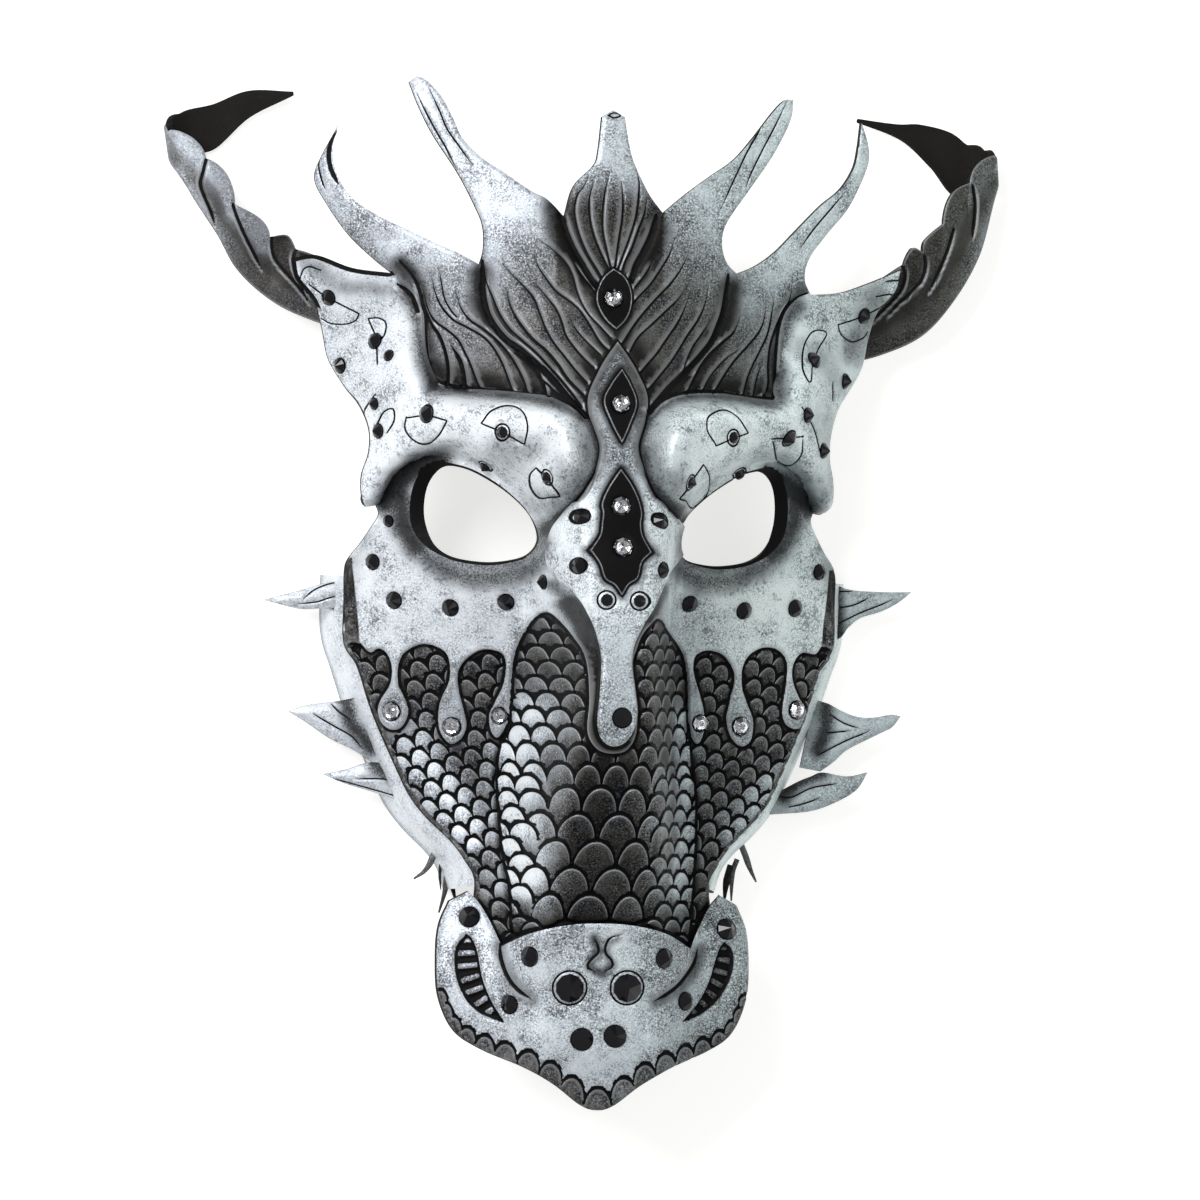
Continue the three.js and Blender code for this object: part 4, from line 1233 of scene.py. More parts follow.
def hide_rails():
    rails = [rail for cut in CUTS for rail in rails_of(cut)]
    rails += loop_rails(STRIP_LOOP, (0.9, 0, -0.3, -0.9))
    for loop in (ALMOND_LOOP, DIAMOND_LOOP, SHIELD_LOOP):
        rails += loop_rails(loop, (1.05, 0.7, 0.3, 0, -0.15, -0.4))
    rails += ring_rails(True)
    rails += [shifted(DRIP_LINE, offset) for offset in (-0.8, -0.4, 0, 0.4, 0.8)]
    for side in (1, -1):
        tail = smooth_line([[side * x, y] for x, y in BROW_TAIL], 0.9)
        rails += [shifted(tail, side * offset) for offset in (-0.3, 0.5, 1.3, 2.3, 3.6)]
    rails += [line + (offset, 0) for line in VALLEYS for offset in (-0.8, -0.3, 0, 0.3, 0.8)]
    for loop in GRAIN_LOOPS:
        rails += loop_rails(loop, (0.3, -0.3))
    rails += loop_rails(HIDE_LOOP, (-1.0, -1.5))
    for loop in EYE_LOOPS:
        rails += loop_rails(loop, (eye_band(*loop.T), 0.9 * eye_band(*loop.T)))
    for key, scales in ((0, SNOUT_SCALES), (-1, CHEEK_SCALES[-1]), (1, CHEEK_SCALES[1])):
        rails += scale_rails(
            scales, lambda x, y: below_plate(x, y, 1.1) & (scale_zone(x, y) == key)
            & (within([HIDE_LOOP], x, y) > 0.8))
    return rails


def paint_scales(work):
    """The scaled hide under the silver plate: cuts and ink, painted highlights on the scales, and
    painted shade down the snout's middle, in the creases and under the plate's edge.
    """
    under = depth_inside(PLATE_LOOP, work.x, work.y)
    zone = scale_zone(work.x, work.y)
    painted_highlight = np.zeros(len(work.x))
    for strength, radius, pixels in PAINTED_HIGHLIGHTS:
        painted_highlight = np.maximum(painted_highlight, strength * stroke(work, on_face(pixels), radius))
    fields = ((0, SNOUT_SCALES, 5), (-1, CHEEK_SCALES[-1], 6), (1, CHEEK_SCALES[1], 7))
    for key, scales, seed in fields:
        at = np.flatnonzero((under < 0) & (zone == key))
        x, y = work.x[at], work.y[at]
        seen = lay_scales(x, y, scales)
        fall, inked = scale_cut(seen.ink_at, 1.5, 1.25)
        work.cut[at] = np.maximum(work.cut[at], SCALE_DEPTH * fall)
        work.ink[at] = np.maximum(work.ink[at], inked)
        work.lip[at] = np.maximum(work.lip[at], 0.5 * clamp(1 - seen.border / 0.4))
        if key:
            ground = 0.27 + 0 * x
            # Painted shade in the crease where the cheek meets the snout.
            crease = np.abs(x - valley(key, y))
            work.shade[at] = np.maximum(work.shade[at], 0.85 * smooth(2.6, 0.3, crease))
        else:
            # Darker down the middle of the snout and lighter on its flanks, painted shade and
            # light; a little lighter towards the muzzle.
            ground = 0.14 + 0.12 * smooth(5, 16, np.abs(x + 4)) + 0.06 * smooth(-70, -92, y)
        # Each scale lighter towards its top, a painted highlight, with a random tone of its own.
        light = 0.12 * (1 - seen.down) + scale_tints(seen, scales, seed)
        work.tone[at] = ground + light + painted_highlight[at] * (0.8 + 0.3 * (0.5 - seen.down))
        work.rise[at] += 0.3 * (1 - seen.down)
    # A black line in the fold of each valley, standing for the shade in the crease.
    for line in VALLEYS:
        fold = clamp(1.4 - np.abs(work.x - valley(line[0, 0], work.y)) / 0.4) * (under < 0)
        work.ink = np.maximum(work.ink, fold)
    outline = clamp(1.5 - np.abs(under + 0.4) / 0.3)  # the line pressed round the drips
    work.ink = np.maximum(work.ink, outline)
    # Painted shade on the scales just under the raised edge of the silver plate.
    dark = smooth(2.8, 0, -under) * (under < 0)
    work.shade = np.maximum(work.shade, 0.5 * dark)


def inset(work, loop):
    """A black field with a thin silver edge, paint wear with a painted highlight on it, in a groove
    of its own, and darker round it.
    """
    inside = depth_inside(loop, work.x, work.y)
    fall = clamp(1.4 - np.abs(inside + 0.42) / 0.3)
    work.cut = np.maximum(work.cut, 0.6 * fall)
    work.ink = np.where(inside > -0.2, 0.93 * smooth(0.15, 0.3, inside), work.ink)
    work.shade = np.maximum(work.shade, 0.7 * smooth(-3.0, -0.6, inside) * (inside < -0.6))
    work.ink = np.maximum(work.ink, fall)
    line = 0.3 * clamp(1.1 - np.abs(inside - 0.05) / 0.15)
    work.lip = np.where(inside > -0.9, line, work.lip)
    work.tone = np.where(inside > -0.9, 0.45, work.tone)
    work.shade = np.maximum(work.shade, 0.5 * smooth(3, 0, -inside) * (inside < 0))


def round_edge(work, depth, wide=0.7):
    """Rounds a sheet's border over a little of its width."""
    work.rise -= 0.8 * wide * clamp(1 - depth / wide) ** 2


ON_LINE = 0.05  # depth past which a point lies inside an outline and not on it
NOSE_WALL = 13  # the drip over the nose stands this far out at most


def silver_tone(x, y):
    """Tone of the silver over cheeks, brows and temples: darker towards the drips' tips and over
    the temples, darker on the right with painted shade, lighter under the right eye, and lighter on
    the brows with a painted highlight.
    """
    tone = 0.9 - 0.22 * smooth(-14, -30, y) - 0.06 * smooth(0, -10, y)
    tone = tone - 0.07 * smooth(-10, 20, x) + 0.12 * smooth(20, 40, x) * smooth(12, 0, y)
    temple = smooth(58, 66, np.abs(x)) * smooth(40, 60, y)
    brow_depth = depth_inside(BROW_EDGE, np.abs(x), y)
    return tone - 0.06 * temple * (x < 0) - 0.06 * temple + 0.06 * smooth(0, 6, brow_depth)


def crown_tone(x, y, crown):
    """Tone of the crown, from the dark of its foot to the light of its spikes, darker near its
    border with painted shade where it dips behind the brows.
    """
    reach = np.hypot(x * 0.92, y - 62)
    tone = 0.31 + 0.4 * smooth(26, 66, reach) + 0.04 * smooth(10, -30, x)
    tone = (tone + 0.08 * smooth(38, 52, x)) * (0.75 + 0.25 * smooth(0, 14, crown))
    middle = (np.abs(x + 1) < 16) & (y > 90)
    return np.where(middle, 0.24 + 0.5 * smooth(112, 132, y), tone)


# Soft strokes of airbrushing and painted shade, laid only where the mask allows.
def smoke_and_shade_over(work, strokes, where):
    for strength, radius, pixels in strokes:
        smoke_and_shade = strength * stroke(work, on_face(pixels), radius) * where
        work.shade = np.maximum(work.shade, smoke_and_shade)


def middle_strip(work, plate):
    """The raised strip, with its dark insets, painted shade along its edges and over the right of
    its upper part, and painted shade on the walls of the nose beside it.
    """
    x, y = work.x, work.y
    drawn = smooth(20, 26, y)  # its outline stops where it becomes the nose
    strip = raise_inside(work, STRIP_LOOP, 0.9, 0.9, 0.5, drawn)
    tone = (0.64 + 0.24 * smooth(40, 26, y) - 0.12 * smooth(50, 62, y)
            - 0.2 * smooth(0, -20, y) - 0.1 * smooth(-2, 6, x) * smooth(40, 60, y))
    work.tone = np.where(strip > ON_LINE, tone, work.tone)
    # Painted shade along the strip's edges.
    edged = 0.75 * smooth(3.8, 0, strip) * (0.25 + 0.75 * smooth(16, 34, y)) * drawn
    work.shade = np.where(strip > ON_LINE, edged, work.shade)
    # Painted shade on the walls of the nose beside the strip, deepest low down.
    wall = (plate > -0.5) & (strip < ON_LINE) & (np.abs(x) < NOSE_WALL) & (y < 8)
    shaded = 0.9 * smooth(-14, -34, y) + smooth(-4.5, -0.5, strip) * smooth(6, -2, y)
    work.shade = np.where(wall, np.maximum(work.shade, shaded), work.shade)
    work.tone = np.where(wall, work.tone * (1 - 0.75 * smooth(-8, -28, y)), work.tone)
    for loop in (ALMOND_LOOP, DIAMOND_LOOP, SHIELD_LOOP):
        inset(work, loop)


def side_grain(work):
    """The dark combed strips down the sides of the cheeks."""
    for loop in GRAIN_LOOPS:
        depth = depth_inside(loop, work.x, work.y)
        combed = 0.3 + 0.12 * np.sin(9 * depth + 0.5 * work.y)
        work.tone = np.where(depth > 0, combed, work.tone)
        work.ink = np.maximum(work.ink, clamp(1 - np.abs(depth) / 0.4))
        work.rise -= 0.5 * smooth(-0.3, 0.3, depth)


def eye_edges(work):
    """The black cut edge round each eye, with painted shade round the lower part of the eye and in
    the socket under the brow.
    """
    for loop in EYE_LOOPS:
        away = -depth_inside(loop, work.x, work.y)
        band = eye_band(work.x, work.y)
        inner = clamp(1 - away / band)
        work.rise -= 0.7 * band * inner
        edge = clamp(inner / 0.1) * (1 - 0.3 * smooth(0.2, 0.45, inner) * smooth(2, 2.8, band))
        work.ink = np.maximum(work.ink, edge)
        work.tone = np.where(inner > 0.05, 0.5, work.tone)
        work.shade = np.maximum(work.shade, 0.7 * smooth(7, 0, away) * smooth(30, 16, work.y))


def hide_border(work):
    """The hide's own border, with bare cut leather at the left temple and below the cheeks."""
    x, y = work.x, work.y
    border = depth_inside(HIDE_LOOP, x, y)
    round_edge(work, border)
    temple = (x < -56) & (y > 86) & (y < 93.5 - 0.4 * (x + 56))
    work.ink = np.where(temple, np.maximum(work.ink, clamp((1.3 - border) / 0.4)), work.ink)
    cheek = (border < 1.3) & (y < -11)
    work.tone = np.where(cheek, 0.36, work.tone)
    work.ink = np.where(cheek, clamp(1 - np.abs(border - 1.25) / 0.35), work.ink)


def clear_lips(work):
    """No pale lip, paint wear with a painted highlight, shows where ink lies over it."""
    work.lip *= 1 - clamp(work.ink * 1.5 - 0.5)


def hide_finish(x, y):
    """Relief and paint of the face hide."""
    work = bare(x, y, 0.86)
    paint_scales(work)
    plate = raise_inside(work, PLATE_LOOP, 1.0, 0.8, 0.2)
    work.tone = np.where(plate > ON_LINE, silver_tone(x, y), work.tone)
    crown = depth_inside(CROWN_LOOP, x, y)
    work.tone = np.where(crown > ON_LINE, crown_tone(x, y, crown), work.tone)
    # Airbrushing and painted shade over the silver plate and over the crown.
    smoke_and_shade_over(work, SMOKE_AND_SHADE, plate > ON_LINE)
    smoke_and_shade_over(work, CROWN_SMOKE_AND_SHADE, crown > ON_LINE)
    middle_strip(work, plate)
    side_grain(work)
    for cut in CUTS:
        carve(work, cut)
    eye_edges(work)
    # A black line along the muzzle plate's top edge, with the plate's painted shadow on the hide
    # round it.
    muzzle = -depth_inside(MUZZLE_LOOP, x, y)
    work.ink = np.maximum(work.ink, clamp(1.4 - muzzle / 1.3) * (muzzle > -2))
    work.shade = np.maximum(work.shade, 0.6 * smooth(4.5, 0, muzzle))
    ring_studs(work, True)
    hide_border(work)
    clear_lips(work)
    return work


def rim_scales():
    """Scales that stand side by side along the lower edge of the muzzle plate."""
    step = 0.2
    edge = evenly(np.vstack([MUZZLE_LOOP, MUZZLE_LOOP[:1]]), step)
    tip = np.argmin(edge[:, 1])
    edge = np.roll(edge[:-1], -tip, 0)
    scales = []
    for side in (1, -1):
        run = edge if side * edge[20, 0] > 0 else edge[::-1]
        passed = 0.0
        while passed < RIM_RUN:
            wide = RIM_WIDEST - RIM_SHRINK * passed
            x, y = run[int(passed / step)]
            if passed or side > 0:
                scales.append((x, y, 0.44 * wide, 0.68 * wide, 0.0))
            passed += wide - 0.04 * wide
    return scales


RIM_SCALES = rim_scales()


def muzzle_scales(work):
    """The row of scales along the lower edge of the muzzle plate."""
    seen = lay_scales(work.x, work.y, RIM_SCALES)
    scale = seen.owner >= 0
    fall, inked = scale_cut(seen.ink_at, 1.4, 1.3)
    work.cut = np.maximum(work.cut, SCALE_DEPTH * fall)
    work.ink = np.maximum(work.ink, inked)
    tone = 0.3 + 0.14 * smooth(0, 2.5, seen.border) + scale_tints(seen, RIM_SCALES, 8)
    work.tone = np.where(scale, tone, work.tone)
    work.lip = np.maximum(work.lip, 0.4 * clamp(1 - np.abs(seen.border - 0.2) / 0.3) * scale)


def crescents(work):
    """The hollow ribbed crescents beside the nostrils: black inside, with a painted highlight along
    each rib.
    """
    x, y = work.x, work.y
    for loop, spine, tone in zip(CRESCENT_LOOPS, CRESCENT_SPINES, CRESCENT_TONES):
        inside = depth_inside(loop, x, y)
        share = beside(spine, x, y)[2]
        rib = 0.5 - 0.5 * np.cos(2 * math.pi * CRESCENT_RIBS * share)
        work.rise -= smooth(-0.2, 0.7, inside) * (1.9 - 0.9 * rib * smooth(0.5, 1.6, inside))
        bright = rib * smooth(0.3, 1.2, inside)
        work.tone = np.where(inside > ON_LINE, tone, work.tone)
        work.ink = np.where(inside > ON_LINE, clamp(1.25 - 1.3 * bright), work.ink)
        work.lip = np.maximum(work.lip, 0.5 * clamp(1 - np.abs(inside + 0.5) / 0.4))


def muzzle_finish(x, y):
    """Relief and paint of the muzzle plate."""
    work = bare(x, y, 0.75)
    # Lighter round the middle near the top, and darker towards the right: painted shade on the side
    # away from the light.
    work.tone += 0.08 * smooth(16, 4, np.hypot(x, (y + 104) * 1.4)) - 0.14 * smooth(0, 35, x)
    # Airbrushing and painted shade round the curls and along the struts.
    for strength, radius, pixels in MUZZLE_SMOKE_AND_SHADE:
        smoke_and_shade = strength * stroke(work, on_plate(pixels), radius)
        work.shade = np.maximum(work.shade, smoke_and_shade)
    work.shade = np.maximum(work.shade, 0.2 * smooth(-120, -140, y))
    muzzle_scales(work)
    crescents(work)
    for cut in MUZZLE_CUTS:
        carve(work, cut)
    ring_studs(work, False)
    round_edge(work, depth_inside(MUZZLE_LOOP, x, y))
    clear_lips(work)
    return work


# Shaders
def add(tree, kind, **values):
    """A node of a kind, with values for its sockets or settings."""
    made = tree.nodes.new("ShaderNode" + kind)
    for key, value in values.items():
        if hasattr(made, key):
            setattr(made, key, value)
        else:
            feed(tree, value, made.inputs[key.replace("_", " ")])
    return made


def feed(tree, value, socket):
    if isinstance(value, bpy.types.Node):
        value = value.outputs[0]
    if isinstance(value, bpy.types.NodeSocket):
        tree.links.new(value, socket)
    else:
        socket.default_value = value


def maths(tree, operation, *values, limit=False):
    made = tree.nodes.new("ShaderNodeMath")
    made.operation = operation
    made.use_clamp = limit
    for value, socket in zip(values, made.inputs):
        feed(tree, value, socket)
    return made.outputs[0]


def between(tree, share, low, high):
    """Mixes two colours."""
    made = tree.nodes.new("ShaderNodeMix")
    made.data_type = "RGBA"
    feed(tree, share, made.inputs["Factor"])
    feed(tree, low, made.inputs[6])
    feed(tree, high, made.inputs[7])
    return made.outputs[2]


def span(tree, value, low, high, to_low=0.0, to_high=1.0):
    made = add(tree, "MapRange", interpolation_type="SMOOTHSTEP")
    for number, item in enumerate((value, low, high, to_low, to_high)):
        feed(tree, item, made.inputs[number])
    return made.outputs[0]


def noise(tree, place, scale, detail=2.0, rough=0.5):
    made = add(tree, "TexNoise", Scale=scale, Detail=detail, Roughness=rough)
    feed(tree, place, made.inputs["Vector"])
    return made.outputs["Fac"]


def group(name, inputs, outputs):
    """An empty node group with named sockets."""
    tree = bpy.data.node_groups.new(name, "ShaderNodeTree")
    for word, kind, value in inputs:
        made = tree.interface.new_socket(word, in_out="INPUT", socket_type="NodeSocket" + kind)
        made.default_value = value
    for word, kind in outputs:
        tree.interface.new_socket(word, in_out="OUTPUT", socket_type="NodeSocket" + kind)
    return tree, tree.nodes.new("NodeGroupInput").outputs, tree.nodes.new("NodeGroupOutput").inputs


PALETTE = [
    (0.0, (0.003, 0.003, 0.003)), (0.2, (0.023, 0.021, 0.0185)), (0.4, (0.09, 0.086, 0.08)),
    (0.6, (0.25, 0.262, 0.28)), (0.8, (0.56, 0.60, 0.64)), (1.0, (0.90, 0.93, 0.94)),
]


def painted_leather():
    """Dappled silver paint over black leather, with inked grooves, pale lips of paint wear with a
    painted highlight, airbrushing with painted shade, and the painted colour of the light on each
    side.
    """
    tree, given, out = group(
        "painted leather",
        [("Tone", "Float", 0.8), ("Ink", "Float", 0.0), ("Lip", "Float", 0.0),
         ("Smoke And Shade", "Float", 0.0), ("Dapple", "Float", 0.25)],
        [("Colour", "Color"), ("Roughness", "Float"), ("Metallic", "Float"), ("Height", "Float")],
    )
    place = add(tree, "TexCoord").outputs["Object"]
    fine = noise(tree, place, 1900, 3, 0.75)
    speck = noise(tree, place, 700, 3, 0.6)
    cloud = noise(tree, place, 110, 4, 0.6)
    strong = span(tree, cloud, 0.35, 0.65, 4.2, 1.4)
    dapple = maths(tree, "MULTIPLY_ADD", maths(tree, "SUBTRACT", fine, 0.5), strong,
                   maths(tree, "SUBTRACT", cloud, 0.5))
    tone = maths(tree, "MULTIPLY_ADD", dapple, given["Dapple"], given["Tone"])
    ramp = add(tree, "ValToRGB")
    feed(tree, tone, ramp.inputs[0])
    steps = ramp.color_ramp.elements
    while len(steps) < len(PALETTE):
        steps.new(0.5)
    for step, (position, colour) in zip(steps, PALETTE):
        step.position = position
        step.color = (*colour, 1)
    # Bluish on the left, greenish and a little darker on the right: the painted colour of the light
    # on each side.
    across = add(tree, "SeparateXYZ", Vector=place).outputs["X"]
    light_tint = between(tree, span(tree, across, -0.04, 0.05), (0.98, 0.99, 1.02, 1),
                   (0.92, 1.0, 0.97, 1))
    light_tinted = add(tree, "Mix", data_type="RGBA", blend_type="MULTIPLY")
    for number, item in ((0, 1.0), (6, ramp.outputs[0]), (7, light_tint)):
        feed(tree, item, light_tinted.inputs[number])
    dense = maths(tree, "MULTIPLY_ADD", maths(tree, "SUBTRACT", cloud, 0.5), 0.6, speck)
    specks = maths(tree, "MULTIPLY", span(tree, dense, 0.42, 0.33), given["Dapple"])
    spotted = between(tree, specks, light_tinted.outputs[2], (0.05, 0.06, 0.09, 1))
    # Airbrushing and painted shade, speckled at its edges.
    haze = maths(tree, "MULTIPLY_ADD", maths(tree, "SUBTRACT", fine, 0.5), 1.8, given["Smoke And Shade"])
    smoke_and_shade = maths(tree, "MULTIPLY", span(tree, haze, 0.0, 0.95), 0.95)
    smoke_and_shade = maths(tree, "MULTIPLY", smoke_and_shade, maths(tree, "MULTIPLY", given["Smoke And Shade"], 3.0, limit=True))
    smoked_and_shaded = between(tree, smoke_and_shade, spotted, (0.006, 0.0055, 0.005, 1))
    # Pale lips: paint wear with a painted highlight on it.
    lip = maths(tree, "MULTIPLY", given["Lip"], 1.0, limit=True)
    wear_and_highlight = between(tree, lip, smoked_and_shaded, (0.5, 0.52, 0.54, 1))
    edge = maths(tree, "MULTIPLY_ADD", maths(tree, "SUBTRACT", speck, 0.5), 0.3, given["Ink"])
    ink = span(tree, edge, 0.3, 0.5)
    colour = between(tree, ink, wear_and_highlight, (0.0025, 0.0025, 0.003, 1))
    feed(tree, colour, out["Colour"])
    grain = maths(tree, "MULTIPLY", maths(tree, "SUBTRACT", speck, 0.5), 0.25)
    rough = maths(tree, "ADD", maths(tree, "MULTIPLY_ADD", ink, 0.12, 0.46), grain)
    feed(tree, rough, out["Roughness"])
    feed(tree, maths(tree, "MULTIPLY_ADD", ink, -0.3, 0.3), out["Metallic"])
    feed(tree, maths(tree, "ADD", fine, maths(tree, "MULTIPLY", speck, 0.6)), out["Height"])
    return tree


LEATHER_GROUP = painted_leather()


def material(name):
    made = bpy.data.materials.new(name)
    made.use_nodes = True
    tree = made.node_tree
    return made, tree, tree.nodes["Principled BSDF"]


def bump(tree, shader, height, strength, distance):
    made = add(tree, "Bump", Strength=strength, Distance=distance)
    feed(tree, height, made.inputs["Height"])
    feed(tree, made, shader.inputs["Normal"])


def grain_side(name, dapple=0.5):
    """Grain side of a piece: painted leather driven by what was carved and brushed on it."""
    made, tree, shader = material(name)
    paint = tree.nodes.new("ShaderNodeGroup")
    paint.node_tree = LEATHER_GROUP
    paint.inputs["Dapple"].default_value = dapple
    for socket, word in (("Tone", "tone"), ("Ink", "ink"), ("Lip", "lip"), ("Smoke And Shade", "shade")):
        brushed = add(tree, "Attribute", attribute_name=word).outputs["Fac"]
        feed(tree, brushed, paint.inputs[socket])
    feed(tree, paint.outputs["Colour"], shader.inputs["Base Color"])
    feed(tree, paint.outputs["Roughness"], shader.inputs["Roughness"])
    feed(tree, paint.outputs["Metallic"], shader.inputs["Metallic"])
    shader.inputs["Specular IOR Level"].default_value = 0.1
    bump(tree, shader, paint.outputs["Height"], 0.35, 0.00012)
    return made


def flesh_side():
    """Cut edges and back: leather dyed black, with the nap of its flesh side."""
    made, tree, shader = material("black flesh side")
    place = add(tree, "TexCoord").outputs["Object"]
    nap = noise(tree, place, 900, 4, 0.7)
    cloud = noise(tree, place, 60, 3, 0.5)
    feed(tree, between(tree, cloud, (0.006, 0.006, 0.006, 1), (0.022, 0.019, 0.016, 1)),
         shader.inputs["Base Color"])
    feed(tree, span(tree, nap, 0.2, 0.8, 0.6, 0.9), shader.inputs["Roughness"])
    shader.inputs["Specular IOR Level"].default_value = 0.08
    bump(tree, shader, nap, 0.6, 0.0002)
    return made


FLESH = flesh_side()


def settle(piece, slot, nodes, *materials):
    """Gives a piece its finish and its place in the frame."""
    for item in materials:
        piece.data.materials.append(item)
    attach(piece, "root")
    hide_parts(*nodes)


# Pieces
def face_hide():
    mesh = sheet([HIDE_LOOP, *EYE_LOOPS], hide_rails(), 1.0, face, hide_under, hide_finish)
    piece = joined("carved_face", mesh)
    settle(piece, "face_leather", ["face_hide"], grain_side("face paint"), FLESH)


def muzzle_plate():
    rails = [rail for cut in MUZZLE_CUTS for rail in rails_of(cut)]
    for loop in CRESCENT_LOOPS:
        rails += loop_rails(loop, (0.2, -0.6, -1.2))
    rails += scale_rails(RIM_SCALES, lambda x, y: depth_inside(MUZZLE_LOOP, x, y) > 0.5)
    rails += ring_rails(False)
    mesh = sheet([MUZZLE_LOOP], rails, 0.8, plate_top, plate_under, muzzle_finish)
    piece = joined("muzzle_plate_carved", mesh)
    settle(piece, "muzzle_leather", ["muzzle_plate"], grain_side("muzzle paint", 0.6), FLESH)


def strung(points, at):
    """Smooth curve through points in space, evenly timed from one to the next."""
    p = np.asarray(points, float)
    ends = np.vstack([2 * p[0] - p[1], p, 2 * p[-1] - p[-2]])
    place = clamp(at) * (len(p) - 1)
    k = clamp(place.astype(int), 0, len(p) - 2).astype(int)
    t = (place - k)[:, None]
    a, b, c, d = (ends[k + i] for i in range(4))
    ab, bc, cd = (
        np.sqrt(np.linalg.norm(n - m, axis=1))[:, None] for m, n in ((a, b), (b, c), (c, d)))
    leave = bc * ((b - a) / ab - (c - a) / (ab + bc) + (c - b) / bc)
    arrive = bc * ((c - b) / bc - (d - b) / (bc + cd) + (d - c) / cd)
    return eased(t, b, c, leave, arrive)


def scalloped(outer, inner, wide, cuts, u):
    """Inner edge of a horn with a scallop between each two notches, and the notches."""
    notches = sorted(u[np.argmin(np.hypot(*(inner[:, :2] - cut.line[0]).T))] for cut in cuts)
    notches = [0, *notches, *FAR_NOTCHES]
    bulge = np.zeros(len(u))
    for start, stop in zip(notches, notches[1:]):
        t = clamp((u - start) / (stop - start))
        bulge += SCALLOP_RISES[int(start >= HORN_BEND)] * np.sin(math.pi * t**0.8)
    return inner + (inner - outer) / wide * bulge[:, None], notches


def horn_paint(work, notches, u, v, tone, silver):
    """Graphite along a horn, lighter towards its outer edge, with silver over its scallops, partly
    paint and partly a painted highlight where the curled edge faces up, and painted shade down its
    middle.
    """
    leaned = u[:, None] + HORN_LEAN * (1 - v)
    scallop = clamp(np.searchsorted(notches, leaned, side="right") - 1, 0, len(silver) - 1)
    body = tone + (0.1 + 0.16 * smooth(0.25, 0.0, v)[None]) * smooth(0.15, 0.35, u)[:, None]
    work.tone = (body + (np.array(silver)[scallop] - body) * smooth(0.3, 0.7, v)[None]).ravel()
    dark = smooth(0.2, 0.38, v) * smooth(0.7, 0.5, v)
    work.shade = (0.45 * dark[None] * smooth(0.5, 0.35, u)[:, None]).ravel()


def tuck(layer, up, root):
    """Lays the root of a horn against the back of the temple."""
    x, y, z = np.moveaxis(layer, 2, 0)
    tucked = hide_under(x, y) - GLUE * 2 - STRAP / 2 + up
    layer[:, :, 2] = np.maximum(z + root * (np.minimum(tucked, z + TUCK_REACH) - z), 0)


def horn(name, node, stations, cuts, tone, silver):
    """A strip that leaves the back of the temple and curls backwards over its own length."""
    hand = math.copysign(1, stations[0][0])
    u = np.linspace(0, 1, 321)
    v = np.linspace(0, 1, 29)
    outer, inner = (
        strung([[s[i], s[i + 1], s[4] + RIM_Z] for s in stations], u) for i in (0, 2))
    wide = np.linalg.norm(inner - outer, axis=1)[:, None]
    cuts = [groove(cut, 1.0, 0.8, hand, lip=0.5, fine=1.0, full=0.05, step=0.8,
                   where=lambda pixels: on_level(pixels, RIM_Z - 1)) for cut in cuts]
    edge, notches = scalloped(outer, inner, wide, cuts, u)
    middle = outer[:, None] + (edge - outer)[:, None] * v[None, :, None]
    normal = np.cross(np.gradient(middle, axis=0), np.gradient(middle, axis=1)) * hand
    normal /= np.linalg.norm(normal, axis=2)[:, :, None] + 1e-9
    work = bare(middle[:, :, 0].ravel(), middle[:, :, 1].ravel(), 0.0)
    before_bend = np.repeat(u < CUTS_TO, len(v))
    work.x = np.where(before_bend, work.x, FAR_AWAY)
    for cut in cuts:
        carve(work, cut)
    horn_paint(work, notches, u, v, tone, silver)
    border = np.minimum(v, 1 - v)[None] * wide
    # Pale along both edges of the strip, a painted highlight on its cut edges.
    work.lip = np.maximum(work.lip, 0.35 * clamp(1 - border.ravel() / 0.5))
    rise = (work.rise - work.cut).reshape(middle.shape[:2]) - 0.4 * clamp(1 - border / 0.8) ** 2
    half = STRAP / 2 * clamp(wide / 4, 0.45, 1)[:, :, None]
    grain = middle + normal * (half + rise[:, :, None])
    flesh = middle - normal * half
    root = 1 - smooth(*HORN_ROOT, u)[:, None]
    tuck(grain, STRAP / 2, root)
    tuck(flesh, -STRAP / 2, root)
    piece = joined(name, strap(grain, flesh, work))
    settle(piece, "horn_leather", [node], grain_side(name + " paint", 0.3), FLESH)


def leaf(loop, top, thick, cuts, tone, dark_at, spacing=1.0):
    """A flat pointed leaf of leather with carved lines."""
    def finish(x, y):
        work = bare(x, y, tone)
        border = depth_inside(loop, x, y)
        work.rise += 0.5 * smooth(0, 3, border)
        for cut in cuts:
            carve(work, cut)
        # Painted shade at the base, where the spike comes out from behind the band.
        if dark_at is not None:
            work.shade = 0.95 * np.exp(-(beside(dark_at, x, y)[0] / 3.0) ** 2)
        round_edge(work, border, 0.5)
        return work
    return sheet([loop], [rail for cut in cuts for rail in rails_of(cut)], spacing, top,
                 lambda x, y: top(x, y) - thick, finish, 3.0)


